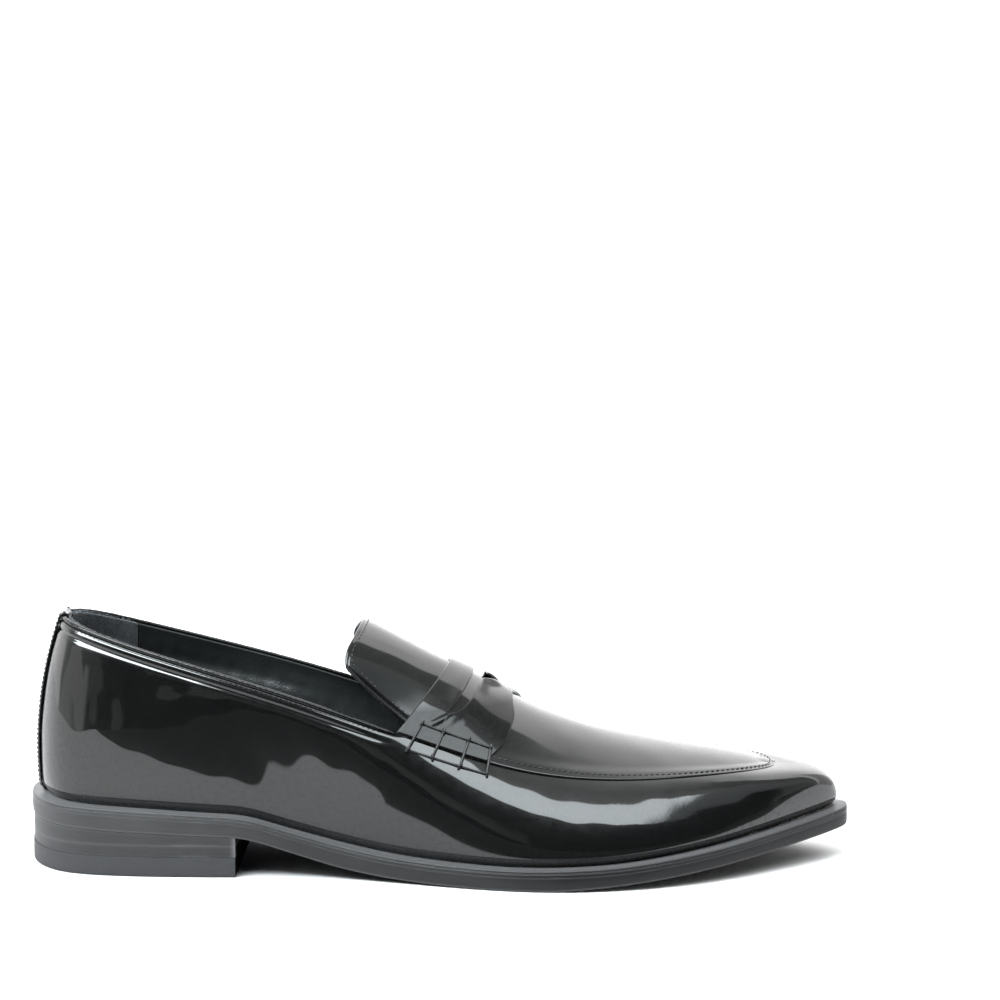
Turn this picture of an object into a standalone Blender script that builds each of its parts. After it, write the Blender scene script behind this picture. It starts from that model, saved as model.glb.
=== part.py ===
"""Penny loafer for the right foot, modelled as the separate pieces it is lasted and stacked from.

Sizes are in millimetres and are turned into metres where a mesh is made. t runs from the back of
the heel to the toe, y is positive on the inner (medial) side of the foot and z is up from the
ground. Places around the shoe are counted in rows: row 0 is the middle of the heel, rows 1 to 13
follow the outer side, row 14 is the toe and rows 15 to 27 come back along the inner side.
"""
import math

import bpy
import bmesh
import numpy as np

MM = 0.001
LENGTH = 304.0              # back of the heel to the tip of the sole
SIDE_SHIFT = 2.5            # moves the shoe sideways so that its widest points are centred
GAP = 0.3                   # clearance between neighbouring pieces
SOFT_GAP = 0.45             # the same between large bent pieces

# Leather and board thicknesses
UPPER = 1.3
LINING = 0.9
STIFFENER = 1.0
BINDING_RADIUS = 1.5
BACKSTAY = 0.9
WELT = 2.6
INSOLE = 2.2
HEEL_PAD = 1.6
SOCK = 1.2
SHANK = 1.0
CORD = 1.2

# Heights
HEEL_BREAST = 79.0          # front face of the heel, from the back of the shoe
TOP_LIFT_HEIGHT = 7.2
LOWER_LIFT_TOP = 11.4
LIFT_SETBACK = 0.4          # leather lifts stand slightly inside the sole edge

UPPER_INSET = 3.8           # how far the upper stands inside the edge of the sole
LASTING_MARGIN = 8.0        # part of the upper that is turned under the insole
TOE_LASTING_MARGIN = 3.5
ARCH_POWER = 2.2            # roundness of the instep and the apron across the foot

# Driving stations: edge of the sole (t, y) and top edge of the upper (t, y, z) at each row.
# The top edge is the foot opening from row 22 back to row 6, and the apron seam in front of it.
STATIONS = (
    (0.0, 0.0, 12.5, 0.0, 91.5),
    (4.5, -17.0, 14.5, -9.5, 91.2),
    (16.0, -29.0, 22.0, -17.5, 89.2),
    (38.0, -34.0, 41.0, -24.0, 83.6),
    (75.0, -35.0, 76.0, -29.0, 73.8),
    (106.0, -35.0, 104.0, -32.0, 65.6),
    (140.0, -42.0, 134.0, -33.5, 55.6),
    (172.0, -50.0, 160.0, -33.5, 46.8),
    (200.0, -52.5, 186.0, -33.0, 39.6),
    (232.0, -47.0, 216.0, -30.0, 36.4),
    (260.0, -33.5, 243.0, -23.5, 36.2),
    (282.0, -17.5, 262.0, -14.5, 35.9),
    (297.0, -4.5, 271.5, -6.5, 35.3),
    (303.0, 2.5, 274.8, -1.5, 35.1),
    (304.0, 7.5, 275.8, 4.5, 35.0),
    (303.0, 12.5, 275.0, 10.0, 35.1),
    (296.0, 19.5, 271.0, 15.5, 35.4),
    (282.0, 28.0, 262.0, 21.5, 36.2),
    (262.0, 37.0, 243.0, 28.0, 37.0),
    (238.0, 44.5, 219.0, 32.0, 38.2),
    (214.0, 47.5, 194.0, 33.5, 41.0),
    (184.0, 42.5, 168.0, 33.5, 46.6),
    (150.0, 30.5, 138.0, 33.0, 55.2),
    (115.0, 25.5, 106.0, 31.0, 65.3),
    (75.0, 29.0, 76.0, 28.5, 74.0),
    (40.0, 33.5, 41.0, 24.0, 83.6),
    (16.0, 29.0, 22.0, 17.5, 89.2),
    (4.5, 17.0, 14.5, 9.5, 91.2),
)
ROWS = len(STATIONS)
TOE_ROW = ROWS // 2

# Rows where every piece has a line of points, besides each half row: the round of the heel, the
# heel breast and the strap, on both sides of the shoe
SHARED_ROWS = (0.25, 4.13, 4.3, 4.7, 6.75, 7.25, 7.65, 20.35, 20.75, 21.25, 23.3, 23.7, 23.87, 27.75)
ROW_STEP_LEAST = 0.02
LEVELS = 7                  # lines of points up each side piece
CROWN_COLUMNS = 11          # and across the apron

# Rows where pieces begin and end
STRAP_FRONT_ROW = 7.45
BINDING_END_ROW = 6.12
MEDIAL_SEAM_ROW = 21.9
BACKSTAY_HALF = 0.6
HEEL_LINING_HALF = 2.8
COUNTER_HALF = 4.2
VAMP_LINING_ROW = 6.35
APRON_REAR_ROW = 6.36
TOE_PUFF_ROW = 10.4

# The tongue
TONGUE_REAR = 123.7         # t of the tongue's top edge on the centre line
TONGUE_ROOT = 153.9         # t where it ends, just behind the strap
TONGUE_HINGE_T = 154.4
TONGUE_HINGE_Z = 72.6

# The slot across the strap
SLOT_HALF_WIDTH = 0.74      # as a part of the strap's half width
SLOT_REAR = 164.3           # t of its straight rear edge on the centre line
SLOT_SWEEP = 1.0            # how far the slot runs back towards its ends
SLOT_OPENING = 3.4
SLOT_SQUARENESS = 6         # a high power keeps the slot open almost to its ends
NOTCH_HALF_WIDTH = 0.16
NOTCH_DEPTH = 4.8
STRAP_LIFT_EDGE = 0.74      # outside this the strap comes down to meet the upper

# The ladder stitching
LADDER_ROWS = (6.42, 6.76, 7.10, 7.42)
LADDER_REACH = 5.4          # from the seam to each rail
BAR_WIDTH = 1.3

NAIL_RADIUS = 1.1
NAIL_HEAD_RADIUS = 2.3
NAIL_HEAD = 0.8
NAIL_TIP_HEIGHT = 8.4
NAIL_SIDES = 10
NAILS = ((22.0, 0.0), (42.0, -15.0), (42.0, 15.0), (65.0, -16.0), (65.0, 13.5))


# ---------------------------------------------------------------- curves

def smooth_curve(points):
    """Return a curve through the points that never overshoots them, as a function of x."""
    x = np.array([p[0] for p in points], float)
    y = np.array([p[1] for p in points], float)
    step = np.diff(x)
    slope = np.diff(y) / step
    tangent = np.zeros(len(x))
    tangent[0] = slope[0]
    tangent[-1] = slope[-1]
    for i in range(1, len(x) - 1):
        if slope[i - 1] * slope[i] > 0:
            before = 2 * step[i] + step[i - 1]
            after = step[i] + 2 * step[i - 1]
            tangent[i] = (before + after) / (before / slope[i - 1] + after / slope[i])

    def value(at):
        at = np.clip(np.asarray(at, float), x[0], x[-1])
        i = np.clip(np.searchsorted(x, at, side="right") - 1, 0, len(x) - 2)
        h = step[i]
        s = (at - x[i]) / h
        rise = s * s * (3 - 2 * s)
        return (y[i] + (y[i + 1] - y[i]) * rise
                + h * tangent[i] * s * (1 - s) ** 2
                - h * tangent[i + 1] * s * s * (1 - s))

    return value


def smooth_step(at, start, end):
    s = np.clip((np.asarray(at, float) - start) / (end - start), 0.0, 1.0)
    return s * s * (3 - 2 * s)


TABLE = np.array(STATIONS, float)
KNOT_STEPS = np.sqrt(np.linalg.norm(np.roll(TABLE[:, :2], -1, axis=0) - TABLE[:, :2], axis=1))


def around(columns, row):
    """Smooth closed curve through the station columns, at any fractional row."""
    values = TABLE[:, columns]
    row = np.mod(np.asarray(row, float), ROWS)
    i = np.floor(row).astype(int) % ROWS
    s = (row - np.floor(row))[:, None]
    p0, p1, p2, p3 = (values[(i + k) % ROWS] for k in (-1, 0, 1, 2))
    h0, h1, h2 = (KNOT_STEPS[(i + k) % ROWS][:, None] for k in (-1, 0, 1))
    d0, d1, d2 = (p1 - p0) / h0, (p2 - p1) / h1, (p3 - p2) / h2
    m1 = h1 * (d0 * h1 + d1 * h0) / (h0 + h1)
    m2 = h1 * (d1 * h2 + d2 * h1) / (h1 + h2)
    return ((2 * s ** 3 - 3 * s ** 2 + 1) * p1 + (s ** 3 - 2 * s ** 2 + s) * m1
            + (3 * s ** 2 - 2 * s ** 3) * p2 + (s ** 3 - s ** 2) * m2)


# Height of the sole's top edge (where the upper meets it) and of its underside, along t
SOLE_TOP = smooth_curve(((0, 25.6), (34, 24.6), (64, 23), (80, 22), (99, 17), (118, 12.4), (136, 9.5),
                         (154, 8.2), (180, 7.6), (209, 8.3), (245, 11.3), (283, 16), (304, 18.8)))
SOLE_BOTTOM = smooth_curve(((0, 17.8), (60, 15.3), (79, 14.5), (100, 8.9), (118, 4.1), (136, 1.5), (154, 0.4),
                            (170, 0), (192, 0), (209, 1), (245, 4.4), (283, 9), (304, 11.4)))

# How the side of the upper bulges between the sole and its top edge
LOW_OUT = smooth_curve(((0, 2.6), (75, 2.2), (140, 3.2), (200, 3.4), (260, 2.5), (292, 1.6), (304, 1.3)))
LOW_UP = smooth_curve(((0, 25), (75, 20), (140, 15), (200, 10.5), (260, 9), (283, 11), (304, 14)))
HIGH_OUT = smooth_curve(((0, 7), (75, 5), (112, 5.4), (140, 8.6), (165, 10), (200, 8.5), (260, 8.7), (283, 11),
                         (304, 15)))
HIGH_DOWN = smooth_curve(((0, 19.5), (75, 17), (106, 15), (140, 10.5), (172, 8.6), (200, 7), (232, 5),
                          (260, 4), (283, 2), (304, 0.6)))

# Centre line of the instep and the apron: height and sideways place, along t
RIDGE = smooth_curve(((118, 92.2), (124, 89.4), (137.5, 82.3), (145, 78.2), (155, 73.4), (165, 69),
                      (174.5, 63.2), (182, 58.8), (191, 55), (204, 50.2), (219, 46.4), (241.5, 42.1),
                      (256.5, 39.7), (271, 36.6), (275.8, 35)))
RIDGE_Y = smooth_curve(((118, 0.5), (150, 1), (200, 0.5), (235, 1.5), (262, 3.5), (275.8, 4.5)))
RIDGE_AT_ROW = smooth_curve(((6, 150.5), (7, 170.5), (8, 188.5), (9, 217), (10, 243.5), (11, 262.5),
                             (12, 271), (13, 274.5), (14, 275.8)))

# Rows of the strap's rear and front edges, by the place across it
STRAP_REAR = smooth_curve(((0, 6.25), (0.6, 6.22), (1, 6.2)))
STRAP_FRONT = smooth_curve(((0, 7.46), (0.25, 7.52), (0.52, 7.6), (0.75, 7.58), (1, 7.45)))

# Side edges of the tongue: t, half width and height, by the t of the ridge above them
TONGUE_EDGE_T = smooth_curve(((123.7, 118.4), (126, 119), (131, 121.5), (140, 128), (148, 134.5), (155, 140.3)))
TONGUE_HALF = smooth_curve(((123.7, 23.5), (126, 25.2), (131, 26.3), (140, 27.2), (148, 28.2), (155, 29)))
TONGUE_EDGE_Z = smooth_curve(((123.7, 80.4), (126, 77.2), (131, 74), (140, 67.2), (148, 61.2), (155, 56.6)))


# ---------------------------------------------------------------- surfaces of the last

def sole_outline(row, inset=0.0):
    """Edge of the sole in plan, moved inwards by inset."""
    row = np.asarray(row, float)
    nudge = 0.01
    run = around([0, 1], row + nudge) - around([0, 1], row - nudge)
    run /= np.linalg.norm(run, axis=1)[:, None]
    outward = np.column_stack([run[:, 1], -run[:, 0]])
    inset = np.broadcast_to(inset, row.shape)[:, None]
    return around([0, 1], row) - outward * inset, outward


def with_height(plan, height):
    return np.column_stack([plan, height])


def side_surface(row, rise):
    """Outside of the upper: rise is 0 at the sole and 1 at the top edge."""
    row = np.asarray(row, float)
    plan, outward = sole_outline(row, UPPER_INSET)
    foot = with_height(plan, SOLE_TOP(plan[:, 0]))
    top = around([2, 3, 4], row)
    edge_t = around([0], row)[:, 0]
    out = with_height(outward, np.zeros(len(row)))
    up = np.array([0.0, 0.0, 1.0])
    low = foot + out * LOW_OUT(edge_t)[:, None] + up * LOW_UP(edge_t)[:, None]
    high = top + out * HIGH_OUT(edge_t)[:, None] - up * HIGH_DOWN(edge_t)[:, None]
    s = np.broadcast_to(rise, row.shape)[:, None]
    return (1 - s) ** 3 * foot + 3 * (1 - s) ** 2 * s * low + 3 * (1 - s) * s ** 2 * high + s ** 3 * top


def top_surface(row, across):
    """Instep and apron: across is -1 on the outer seam, 0 on the ridge and 1 on the inner seam."""
    row = np.asarray(row, float)
    across = np.broadcast_to(across, row.shape)
    outer = around([2, 3, 4], row)
    inner = around([2, 3, 4], ROWS - row)
    edge = np.where((across < 0)[:, None], outer, inner)
    ridge_t = RIDGE_AT_ROW(row)
    ridge = np.column_stack([ridge_t, RIDGE_Y(ridge_t), RIDGE(ridge_t)])
    part = np.abs(across)[:, None]
    bend = part ** ARCH_POWER
    share = np.column_stack([bend, part, bend])
    return ridge + (edge - ridge) * share


def tongue_surface(ridge_t, across):
    ridge_t = np.asarray(ridge_t, float)
    across = np.broadcast_to(across, ridge_t.shape)
    ridge = np.column_stack([ridge_t, RIDGE_Y(ridge_t), RIDGE(ridge_t)])
    side = RIDGE_Y(ridge_t) + np.sign(across) * TONGUE_HALF(ridge_t)
    edge = np.column_stack([TONGUE_EDGE_T(ridge_t), side, TONGUE_EDGE_Z(ridge_t)])
    part = np.abs(across)[:, None]
    bend = part ** ARCH_POWER
    return ridge + (edge - ridge) * np.column_stack([bend, part, bend])


def offset_surface(surface, a, b, depth, flip=1.0):
    """Points of a surface moved along its normal: a positive depth goes into the shoe."""
    a = np.asarray(a, float)
    b = np.broadcast_to(b, a.shape).astype(float)
    step = 0.004
    low = np.maximum(b - step, -1.0)
    high = np.minimum(b + step, 1.0)
    along = surface(a + step, b) - surface(a - step, b)
    across = surface(a, high) - surface(a, low)
    normal = np.cross(along, across) * flip
    size = np.linalg.norm(normal, axis=1)[:, None]
    normal = np.where(size > 1e-9, normal / np.maximum(size, 1e-9), np.array([0.0, 0.0, 1.0]))
    return surface(a, b) - normal * np.broadcast_to(depth, a.shape)[:, None]


def side(row, rise, depth):
    return offset_surface(side_surface, row, rise, depth)


def top(row, across, depth):
    return offset_surface(top_surface, row, across, depth)


def tongue_at(ridge_t, across, depth):
    return offset_surface(tongue_surface, ridge_t, across, depth)


def rise_below_edge(row, drop):
    """Rise of the point that lies drop below the top edge of the upper."""
    edge_t = around([0], row)[:, 0]
    reach = 3 * np.hypot(HIGH_OUT(edge_t), HIGH_DOWN(edge_t))
    return 1 - drop / reach


# ---------------------------------------------------------------- meshes

def material(name, colour, roughness, metallic=0.0):
    made = bpy.data.materials.new(name)
    made.use_nodes = True
    shader = made.node_tree.nodes["Principled BSDF"]
    shader.inputs["Base Color"].default_value = (*colour, 1.0)
    shader.inputs["Roughness"].default_value = roughness
    shader.inputs["Metallic"].default_value = metallic
    made.diffuse_color = (*colour, 1.0)
    return made


def place(point):
    return ((point[0] - LENGTH / 2) * MM, (point[1] + SIDE_SHIFT) * MM, point[2] * MM)


def grid_faces(lines, points, closed=False):
    faces = []
    for i in range(lines if closed else lines - 1):
        j = (i + 1) % lines
        for k in range(points - 1):
            faces.append((i * points + k, i * points + k + 1, j * points + k + 1, j * points + k))
    return faces


def add_object(name, bm, finish, origin=(0.0, 0.0, 0.0)):
    bmesh.ops.recalc_face_normals(bm, faces=bm.faces)
    bmesh.ops.translate(bm, verts=bm.verts, vec=[-value for value in origin])
    mesh = bpy.data.meshes.new(name)
    bm.to_mesh(mesh)
    bm.free()
    mesh.materials.append(finish)
    mesh.shade_smooth()
    mesh.set_sharp_from_angle(angle=math.radians(40))
    made = bpy.data.objects.new(name, mesh)
    made.location = origin
    bpy.context.scene.collection.objects.link(made)
    return made


def sheet(name, outer, inner, faces, finish, origin=(0.0, 0.0, 0.0)):
    """One closed body between two matching sets of points, with walls along every open edge."""
    bm = bmesh.new()
    welded = {}

    def vertex(point):
        key = tuple(np.round(point, 4))
        if key not in welded:
            welded[key] = bm.verts.new(place(point))
        return welded[key]

    skins = [[vertex(p) for p in outer], [vertex(p) for p in inner]]
    pairs = list(zip(*skins))
    uses = {}
    for face in faces:
        corners = [pairs[i] for i in face]
        kept = [c for n, c in enumerate(corners) if c != corners[n - 1]]
        for n, corner in enumerate(kept):
            if len(kept) > 2:
                edge = (kept[n - 1], corner)
                back = (corner, kept[n - 1])
                if back in uses:
                    del uses[back]
                else:
                    uses[edge] = True
        for skin in (0, 1):
            add_face(bm, [c[skin] for c in kept])
    for start, end in uses:
        add_face(bm, [start[0], end[0], end[1], start[1]])
    return add_object(name, bm, finish, origin)


def add_face(bm, corners):
    ring = [v for n, v in enumerate(corners) if v is not corners[n - 1]]
    if len(ring) > 2 and len(set(ring)) == len(ring):
        bm.faces.new(ring)


def spread(start, end, count):
    return np.linspace(start, end, count)


def rows_between(start, end, extra=()):
    """Rows from start to end at the places every piece shares, plus any extra ones.

    Neighbouring pieces bend at the same rows, so that their flat facets stay parallel.
    """
    rows = [start, end]
    shared = list(np.arange(0, ROWS, 0.5)) + list(SHARED_ROWS) + list(extra)
    for row in shared:
        for turn in (-ROWS, 0, ROWS):
            if start + ROW_STEP_LEAST < row + turn < end - ROW_STEP_LEAST:
                rows.append(row + turn)
    return np.unique(np.round(rows, 4))


# ---------------------------------------------------------------- sole and heel

def rungs(start, end, count, inset, toe_inset):
    """Lines of points straight across the sole, each from the outer to the inner edge."""
    rows = rows_between(start, end)
    inset = inset + toe_inset * smooth_step(rows, 11.5, 13.0)
    outer, _ = sole_outline(rows, inset)
    inner, _ = sole_outline(ROWS - rows, inset)
    parts = spread(0.0, 1.0, count)
    plan = outer[:, None, :] + (inner - outer)[:, None, :] * parts[None, :, None]
    return plan.reshape(-1, 2), grid_faces(len(rows), count)


def flat_piece(name, start, end, inset, top_of, bottom_of, finish, toe_inset=0.0, count=5):
    plan, faces = rungs(start, end, count, inset, toe_inset)
    upper_side = with_height(plan, top_of(plan[:, 0]))
    lower_side = with_height(plan, bottom_of(plan[:, 0]))
    return sheet(name, upper_side, lower_side, faces, finish)


def heel_piece(name, setback, top_of, bottom_of, finish):
    """A lift with the plan of the sole, cut off square at the heel breast."""
    lines = 15
    dense = spread(0.0, 5.0, 400)
    outer, _ = sole_outline(dense, setback)
    inner, _ = sole_outline(ROWS - dense, setback)
    t = setback + (HEEL_BREAST - setback) * (1 - np.cos(spread(0, math.pi / 2, lines)))
    outer_y = np.interp(t, outer[:, 0], outer[:, 1])
    inner_y = np.interp(t, inner[:, 0], inner[:, 1])
    across = spread(0.0, 1.0, 5)
    y = outer_y[:, None] + (inner_y - outer_y)[:, None] * across[None, :]
    plan = np.column_stack([np.repeat(t, len(across)), y.ravel()])
    upper_side = with_height(plan, top_of(plan[:, 0]))
    lower_side = with_height(plan, bottom_of(plan[:, 0]))
    return sheet(name, upper_side, lower_side, grid_faces(lines, len(across)), finish)


def welt_ring(finish):
    rows = rows_between(0, ROWS)[:-1]
    edge, _ = sole_outline(rows)
    inside, _ = sole_outline(rows, UPPER_INSET - GAP)
    plan = np.stack([edge, inside], axis=1).reshape(-1, 2)
    upper_side = with_height(plan, SOLE_TOP(plan[:, 0]))
    lower_side = upper_side - np.array([0, 0, WELT])
    return sheet("welt", upper_side, lower_side, grid_faces(len(rows), 2, closed=True), finish)


def nail_body(bm, t, y, radius, head_radius, head_top, head_bottom, tip):
    """A headed pin as stacked rings: two for the head, two for the shaft."""
    rings = []
    for ring_radius, height in ((head_radius, head_top), (head_radius, head_bottom),
                                (radius, head_bottom), (radius, tip)):
        ring = []
        for n in range(NAIL_SIDES):
            angle = 2 * math.pi * n / NAIL_SIDES
            spot = (t + ring_radius * math.cos(angle), y + ring_radius * math.sin(angle), height)
            ring.append(bm.verts.new(place(spot)))
        rings.append(ring)
    for low, high in zip(rings, rings[1:]):
        for n in range(NAIL_SIDES):
            bm.faces.new((low[n - 1], low[n], high[n], high[n - 1]))
    bm.faces.new(rings[0])
    bm.faces.new(rings[-1])


def heel_nails(insole_top, finish):
    for number, (t, y) in enumerate(NAILS, start=1):
        bm = bmesh.new()
        head_top = float(insole_top(t)) - 0.1
        nail_body(bm, t, y, NAIL_RADIUS, NAIL_HEAD_RADIUS, head_top, head_top - NAIL_HEAD, NAIL_TIP_HEIGHT)
        add_object(f"heel_nail_{number}", bm, finish)


def nail_cutter(insole_top):
    """Bores for the nails, open above the insole and stopping inside the lower lift."""
    bm = bmesh.new()
    for t, y in NAILS:
        head_bottom = float(insole_top(t)) - 0.1 - NAIL_HEAD - GAP
        nail_body(bm, t, y, NAIL_RADIUS + GAP, NAIL_HEAD_RADIUS + GAP, head_bottom + 6,
                  head_bottom, NAIL_TIP_HEIGHT - GAP)
    cutter = add_object("nail_cutter", bm, bpy.data.materials["nail_steel"])
    cutter.hide_render = True
    cutter.display_type = "WIRE"
    return cutter


def cut(piece, cutter):
    boolean = piece.modifiers.new("bores", "BOOLEAN")
    boolean.operation = "DIFFERENCE"
    boolean.solver = "EXACT"
    boolean.object = cutter


def shank(finish):
    """Steel strip that stiffens the waist, bent to follow the sole."""
    t = spread(36.0, 148.0, 15)
    half = 7.0 * np.sqrt(1 - (2 * (t - 92.0) / 118.0) ** 6)
    lift = SOLE_TOP(t) - WELT + GAP
    centre = 3.0 * smooth_step(t, 60, 120) - 6.0 * smooth_step(t, 120, 170)
    lines = []
    for part in (-1, 0, 1):
        lines.append(np.column_stack([t, centre + part * half, lift]))
    lower_side = np.stack(lines, axis=1).reshape(-1, 3)
    upper_side = lower_side + np.array([0, 0, SHANK])
    return sheet("shank", upper_side, lower_side, grid_faces(len(t), 3), finish)


# ---------------------------------------------------------------- upper

def drop_at(row):
    """The upper stops below the binding around the opening, and reaches its edge along the seam."""
    place_on_side = np.minimum(np.mod(row, ROWS), ROWS - np.mod(row, ROWS))
    under_binding = 2 * BINDING_RADIUS - 0.3 + SOFT_GAP
    return under_binding + (GAP / 2 - under_binding) * smooth_step(place_on_side, 6.14, 6.26)


def side_strip(rows, rises, depth):
    """Grid of side points: rises run from 0 to 1 and are stretched to the piece's own top."""
    top_rise = rise_below_edge(rows, drop_at(rows))
    row_grid = np.repeat(rows, len(rises))
    rise_grid = (top_rise[:, None] * np.asarray(rises)[None, :]).ravel()
    depth_grid = depth(row_grid, rise_grid) if callable(depth) else depth
    return side(row_grid, rise_grid, depth_grid).reshape(len(rows), len(rises), 3)


def margin_width(plan_t):
    return LASTING_MARGIN + (TOE_LASTING_MARGIN - LASTING_MARGIN) * smooth_step(plan_t, 262, 292)


def lasted_panel(name, start, end, finish):
    """Outer leather from the top edge down to the sole and turned in under the insole."""
    rows = rows_between(start, end, extra=(6.14, 6.26, 21.74, 21.86))
    rises = spread(1.0, 0.0, LEVELS)
    outer = side_strip(rows, rises, 0.0)
    inner = side_strip(rows, rises, UPPER)
    edge, _ = sole_outline(rows, UPPER_INSET)
    corner, _ = sole_outline(rows, UPPER_INSET + UPPER)
    reach, _ = sole_outline(rows, UPPER_INSET + margin_width(edge[:, 0]))
    bottom = WELT - GAP
    skin = [with_height(edge, SOLE_TOP(edge[:, 0]) - bottom), with_height(reach, SOLE_TOP(reach[:, 0]) - bottom)]
    flesh = [with_height(corner, SOLE_TOP(corner[:, 0]) - bottom + UPPER),
             with_height(reach, SOLE_TOP(reach[:, 0]) - bottom + UPPER)]
    outer = np.concatenate([outer, np.stack(skin, axis=1)], axis=1)
    inner = np.concatenate([inner, np.stack(flesh, axis=1)], axis=1)
    faces = grid_faces(len(rows), outer.shape[1])
    return sheet(name, outer.reshape(-1, 3), inner.reshape(-1, 3), faces, finish)


def stiffened(row):
    """1 where a counter or a toe puff lies between the upper and the lining, else 0."""
    place_on_side = np.minimum(np.mod(row, ROWS), ROWS - np.mod(row, ROWS))
    at_heel = 1 - smooth_step(place_on_side, COUNTER_HALF + 0.1, COUNTER_HALF + 0.9)
    at_toe = smooth_step(place_on_side, TOE_PUFF_ROW - 0.9, TOE_PUFF_ROW - 0.1)
    return at_heel, at_toe


def lining_depth(row, rise):
    """Depth of the lining's outer face below the outside of the upper."""
    at_heel, at_toe = stiffened(row)
    below_top = 1 - smooth_step(rise, 0.70, 0.80)
    return UPPER + SOFT_GAP + (STIFFENER + SOFT_GAP) * np.maximum(at_heel * below_top, at_toe)


def inner_panel(name, start, end, levels, outer_depth, thickness, finish):
    """Strip inside the side of the upper, up to the given number of the shared lines of points."""
    rows = rows_between(start, end, extra=(6.14, 6.26, 21.74, 21.86))
    rises = spread(1.0, 0.0, LEVELS)[-levels:]
    outer = side_strip(rows, rises, outer_depth)
    inner = side_strip(rows, rises, lambda row, rise: depth_value(outer_depth, row, rise) + thickness)
    faces = grid_faces(len(rows), levels)
    return sheet(name, outer.reshape(-1, 3), inner.reshape(-1, 3), faces, finish)


def depth_value(depth, row, rise):
    return depth(row, rise) if callable(depth) else depth


def bead(finish):
    """Rolled binding along the foot opening, from one end of the strap round the heel to the other."""
    rows = rows_between(-BINDING_END_ROW, BINDING_END_ROW)
    sides = 8
    centre_depth = (UPPER + SOFT_GAP + LINING) / 2
    rise = rise_below_edge(rows, BINDING_RADIUS - 0.3)
    centre = side(rows, rise, centre_depth)
    outward = side(rows, rise, centre_depth - 1.0) - centre
    upward = side_surface(rows, rise) - side_surface(rows, rise - 0.02)
    upward /= np.linalg.norm(upward, axis=1)[:, None]
    bm = bmesh.new()
    rings = []
    for middle, out, up in zip(centre, outward, upward):
        ring = []
        for n in range(sides):
            angle = 2 * math.pi * n / sides
            spot = middle + BINDING_RADIUS * (out * math.cos(angle) + up * math.sin(angle))
            ring.append(bm.verts.new(place(spot)))
        rings.append(ring)
    for low, high in zip(rings, rings[1:]):
        for n in range(sides):
            bm.faces.new((low[n - 1], low[n], high[n], high[n - 1]))
    bm.faces.new(rings[0])
    bm.faces.new(rings[-1])
    return add_object("topline_binding", bm, finish)


def backstay(finish):
    """Strip over the back seam, folded over the binding into the inside of the heel."""
    rows = rows_between(-BACKSTAY_HALF, BACKSTAY_HALF)
    fold_rise = rise_below_edge(rows, BINDING_RADIUS - 0.3)
    fold_depth = (UPPER + SOFT_GAP + LINING) / 2
    lines_near = []
    lines_far = []
    for share in spread(0.03, 0.97, LEVELS):
        lines_near.append(side(rows, fold_rise * share, -SOFT_GAP))
        lines_far.append(side(rows, fold_rise * share, -SOFT_GAP - BACKSTAY))
    centre = side(rows, fold_rise, fold_depth)
    out = side(rows, fold_rise, fold_depth - 1.0) - centre
    up = side_surface(rows, fold_rise) - side_surface(rows, fold_rise - 0.02)
    up /= np.linalg.norm(up, axis=1)[:, None]
    near = BINDING_RADIUS + SOFT_GAP
    for angle in spread(25, 155, 5):
        turn = math.radians(angle)
        direction = out * math.cos(turn) + up * math.sin(turn)
        lines_near.append(centre + direction * near)
        lines_far.append(centre + direction * (near + BACKSTAY))
    for drop in (4.0, 7.0, 10.0, 13.0):
        rise = rise_below_edge(rows, drop)
        deeper = lining_depth(rows, rise) + LINING + SOFT_GAP
        lines_near.append(side(rows, rise, deeper))
        lines_far.append(side(rows, rise, deeper + BACKSTAY))
    near_grid = np.stack(lines_near, axis=0).reshape(-1, 3)
    far_grid = np.stack(lines_far, axis=0).reshape(-1, 3)
    return sheet("backstay", far_grid, near_grid, grid_faces(len(lines_near), len(rows)), finish)


def vault(rows, depth):
    """Grid over the whole forepart: up the outer side, across the top and down the inner side."""
    lines = []
    across = spread(-1.0, 1.0, CROWN_COLUMNS)[1:-1]
    columns = len(across)
    rises = spread(0.0, 1.0, LEVELS)
    for row in rows:
        here = np.full(LEVELS, row)
        outer_side = side(here, rises, depth_value(depth, here, rises))
        inner_side = side(ROWS - here, rises, depth_value(depth, ROWS - here, rises))[::-1]
        middle = np.full(columns, row)
        if row < TOE_ROW:
            crown = top(middle, across, depth_value(depth, middle, 1.0))
        else:
            crown = np.repeat(outer_side[-1:], columns, axis=0)
        lines.append(np.concatenate([outer_side, crown, inner_side]))
    return np.stack(lines, axis=0)


def vault_piece(name, start, depth, thickness, finish):
    rows = rows_between(start, TOE_ROW)
    outer = vault(rows, depth)
    inner = vault(rows, lambda row, rise: depth_value(depth, row, rise) + thickness)
    faces = grid_faces(len(rows), outer.shape[1])
    return sheet(name, outer.reshape(-1, 3), inner.reshape(-1, 3), faces, finish)


def seam_share(row, trim):
    """Share of the half width that stops trim short of the seam."""
    half = np.abs(around([3], row)[:, 0] - RIDGE_Y(RIDGE_AT_ROW(row)))
    return 1 - trim / np.maximum(half, trim + 0.4)


def apron(finish):
    rows = rows_between(APRON_REAR_ROW, 13.7)
    under_strap = 1 - smooth_step(rows, STRAP_FRONT_ROW + 0.04, STRAP_FRONT_ROW + 0.21)
    columns = spread(-1.0, 1.0, CROWN_COLUMNS)
    grids = []
    for depth, trim in ((0.0, 0.5), (UPPER, 1.1)):
        limit = seam_share(rows, trim)
        limit = limit + (STRAP_LIFT_EDGE - 0.04 - limit) * under_strap
        across = (limit[:, None] * columns[None, :]).ravel()
        grids.append(top(np.repeat(rows, len(columns)), across, depth))
    return sheet("apron", grids[0], grids[1], grid_faces(len(rows), len(columns)), finish)


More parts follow.
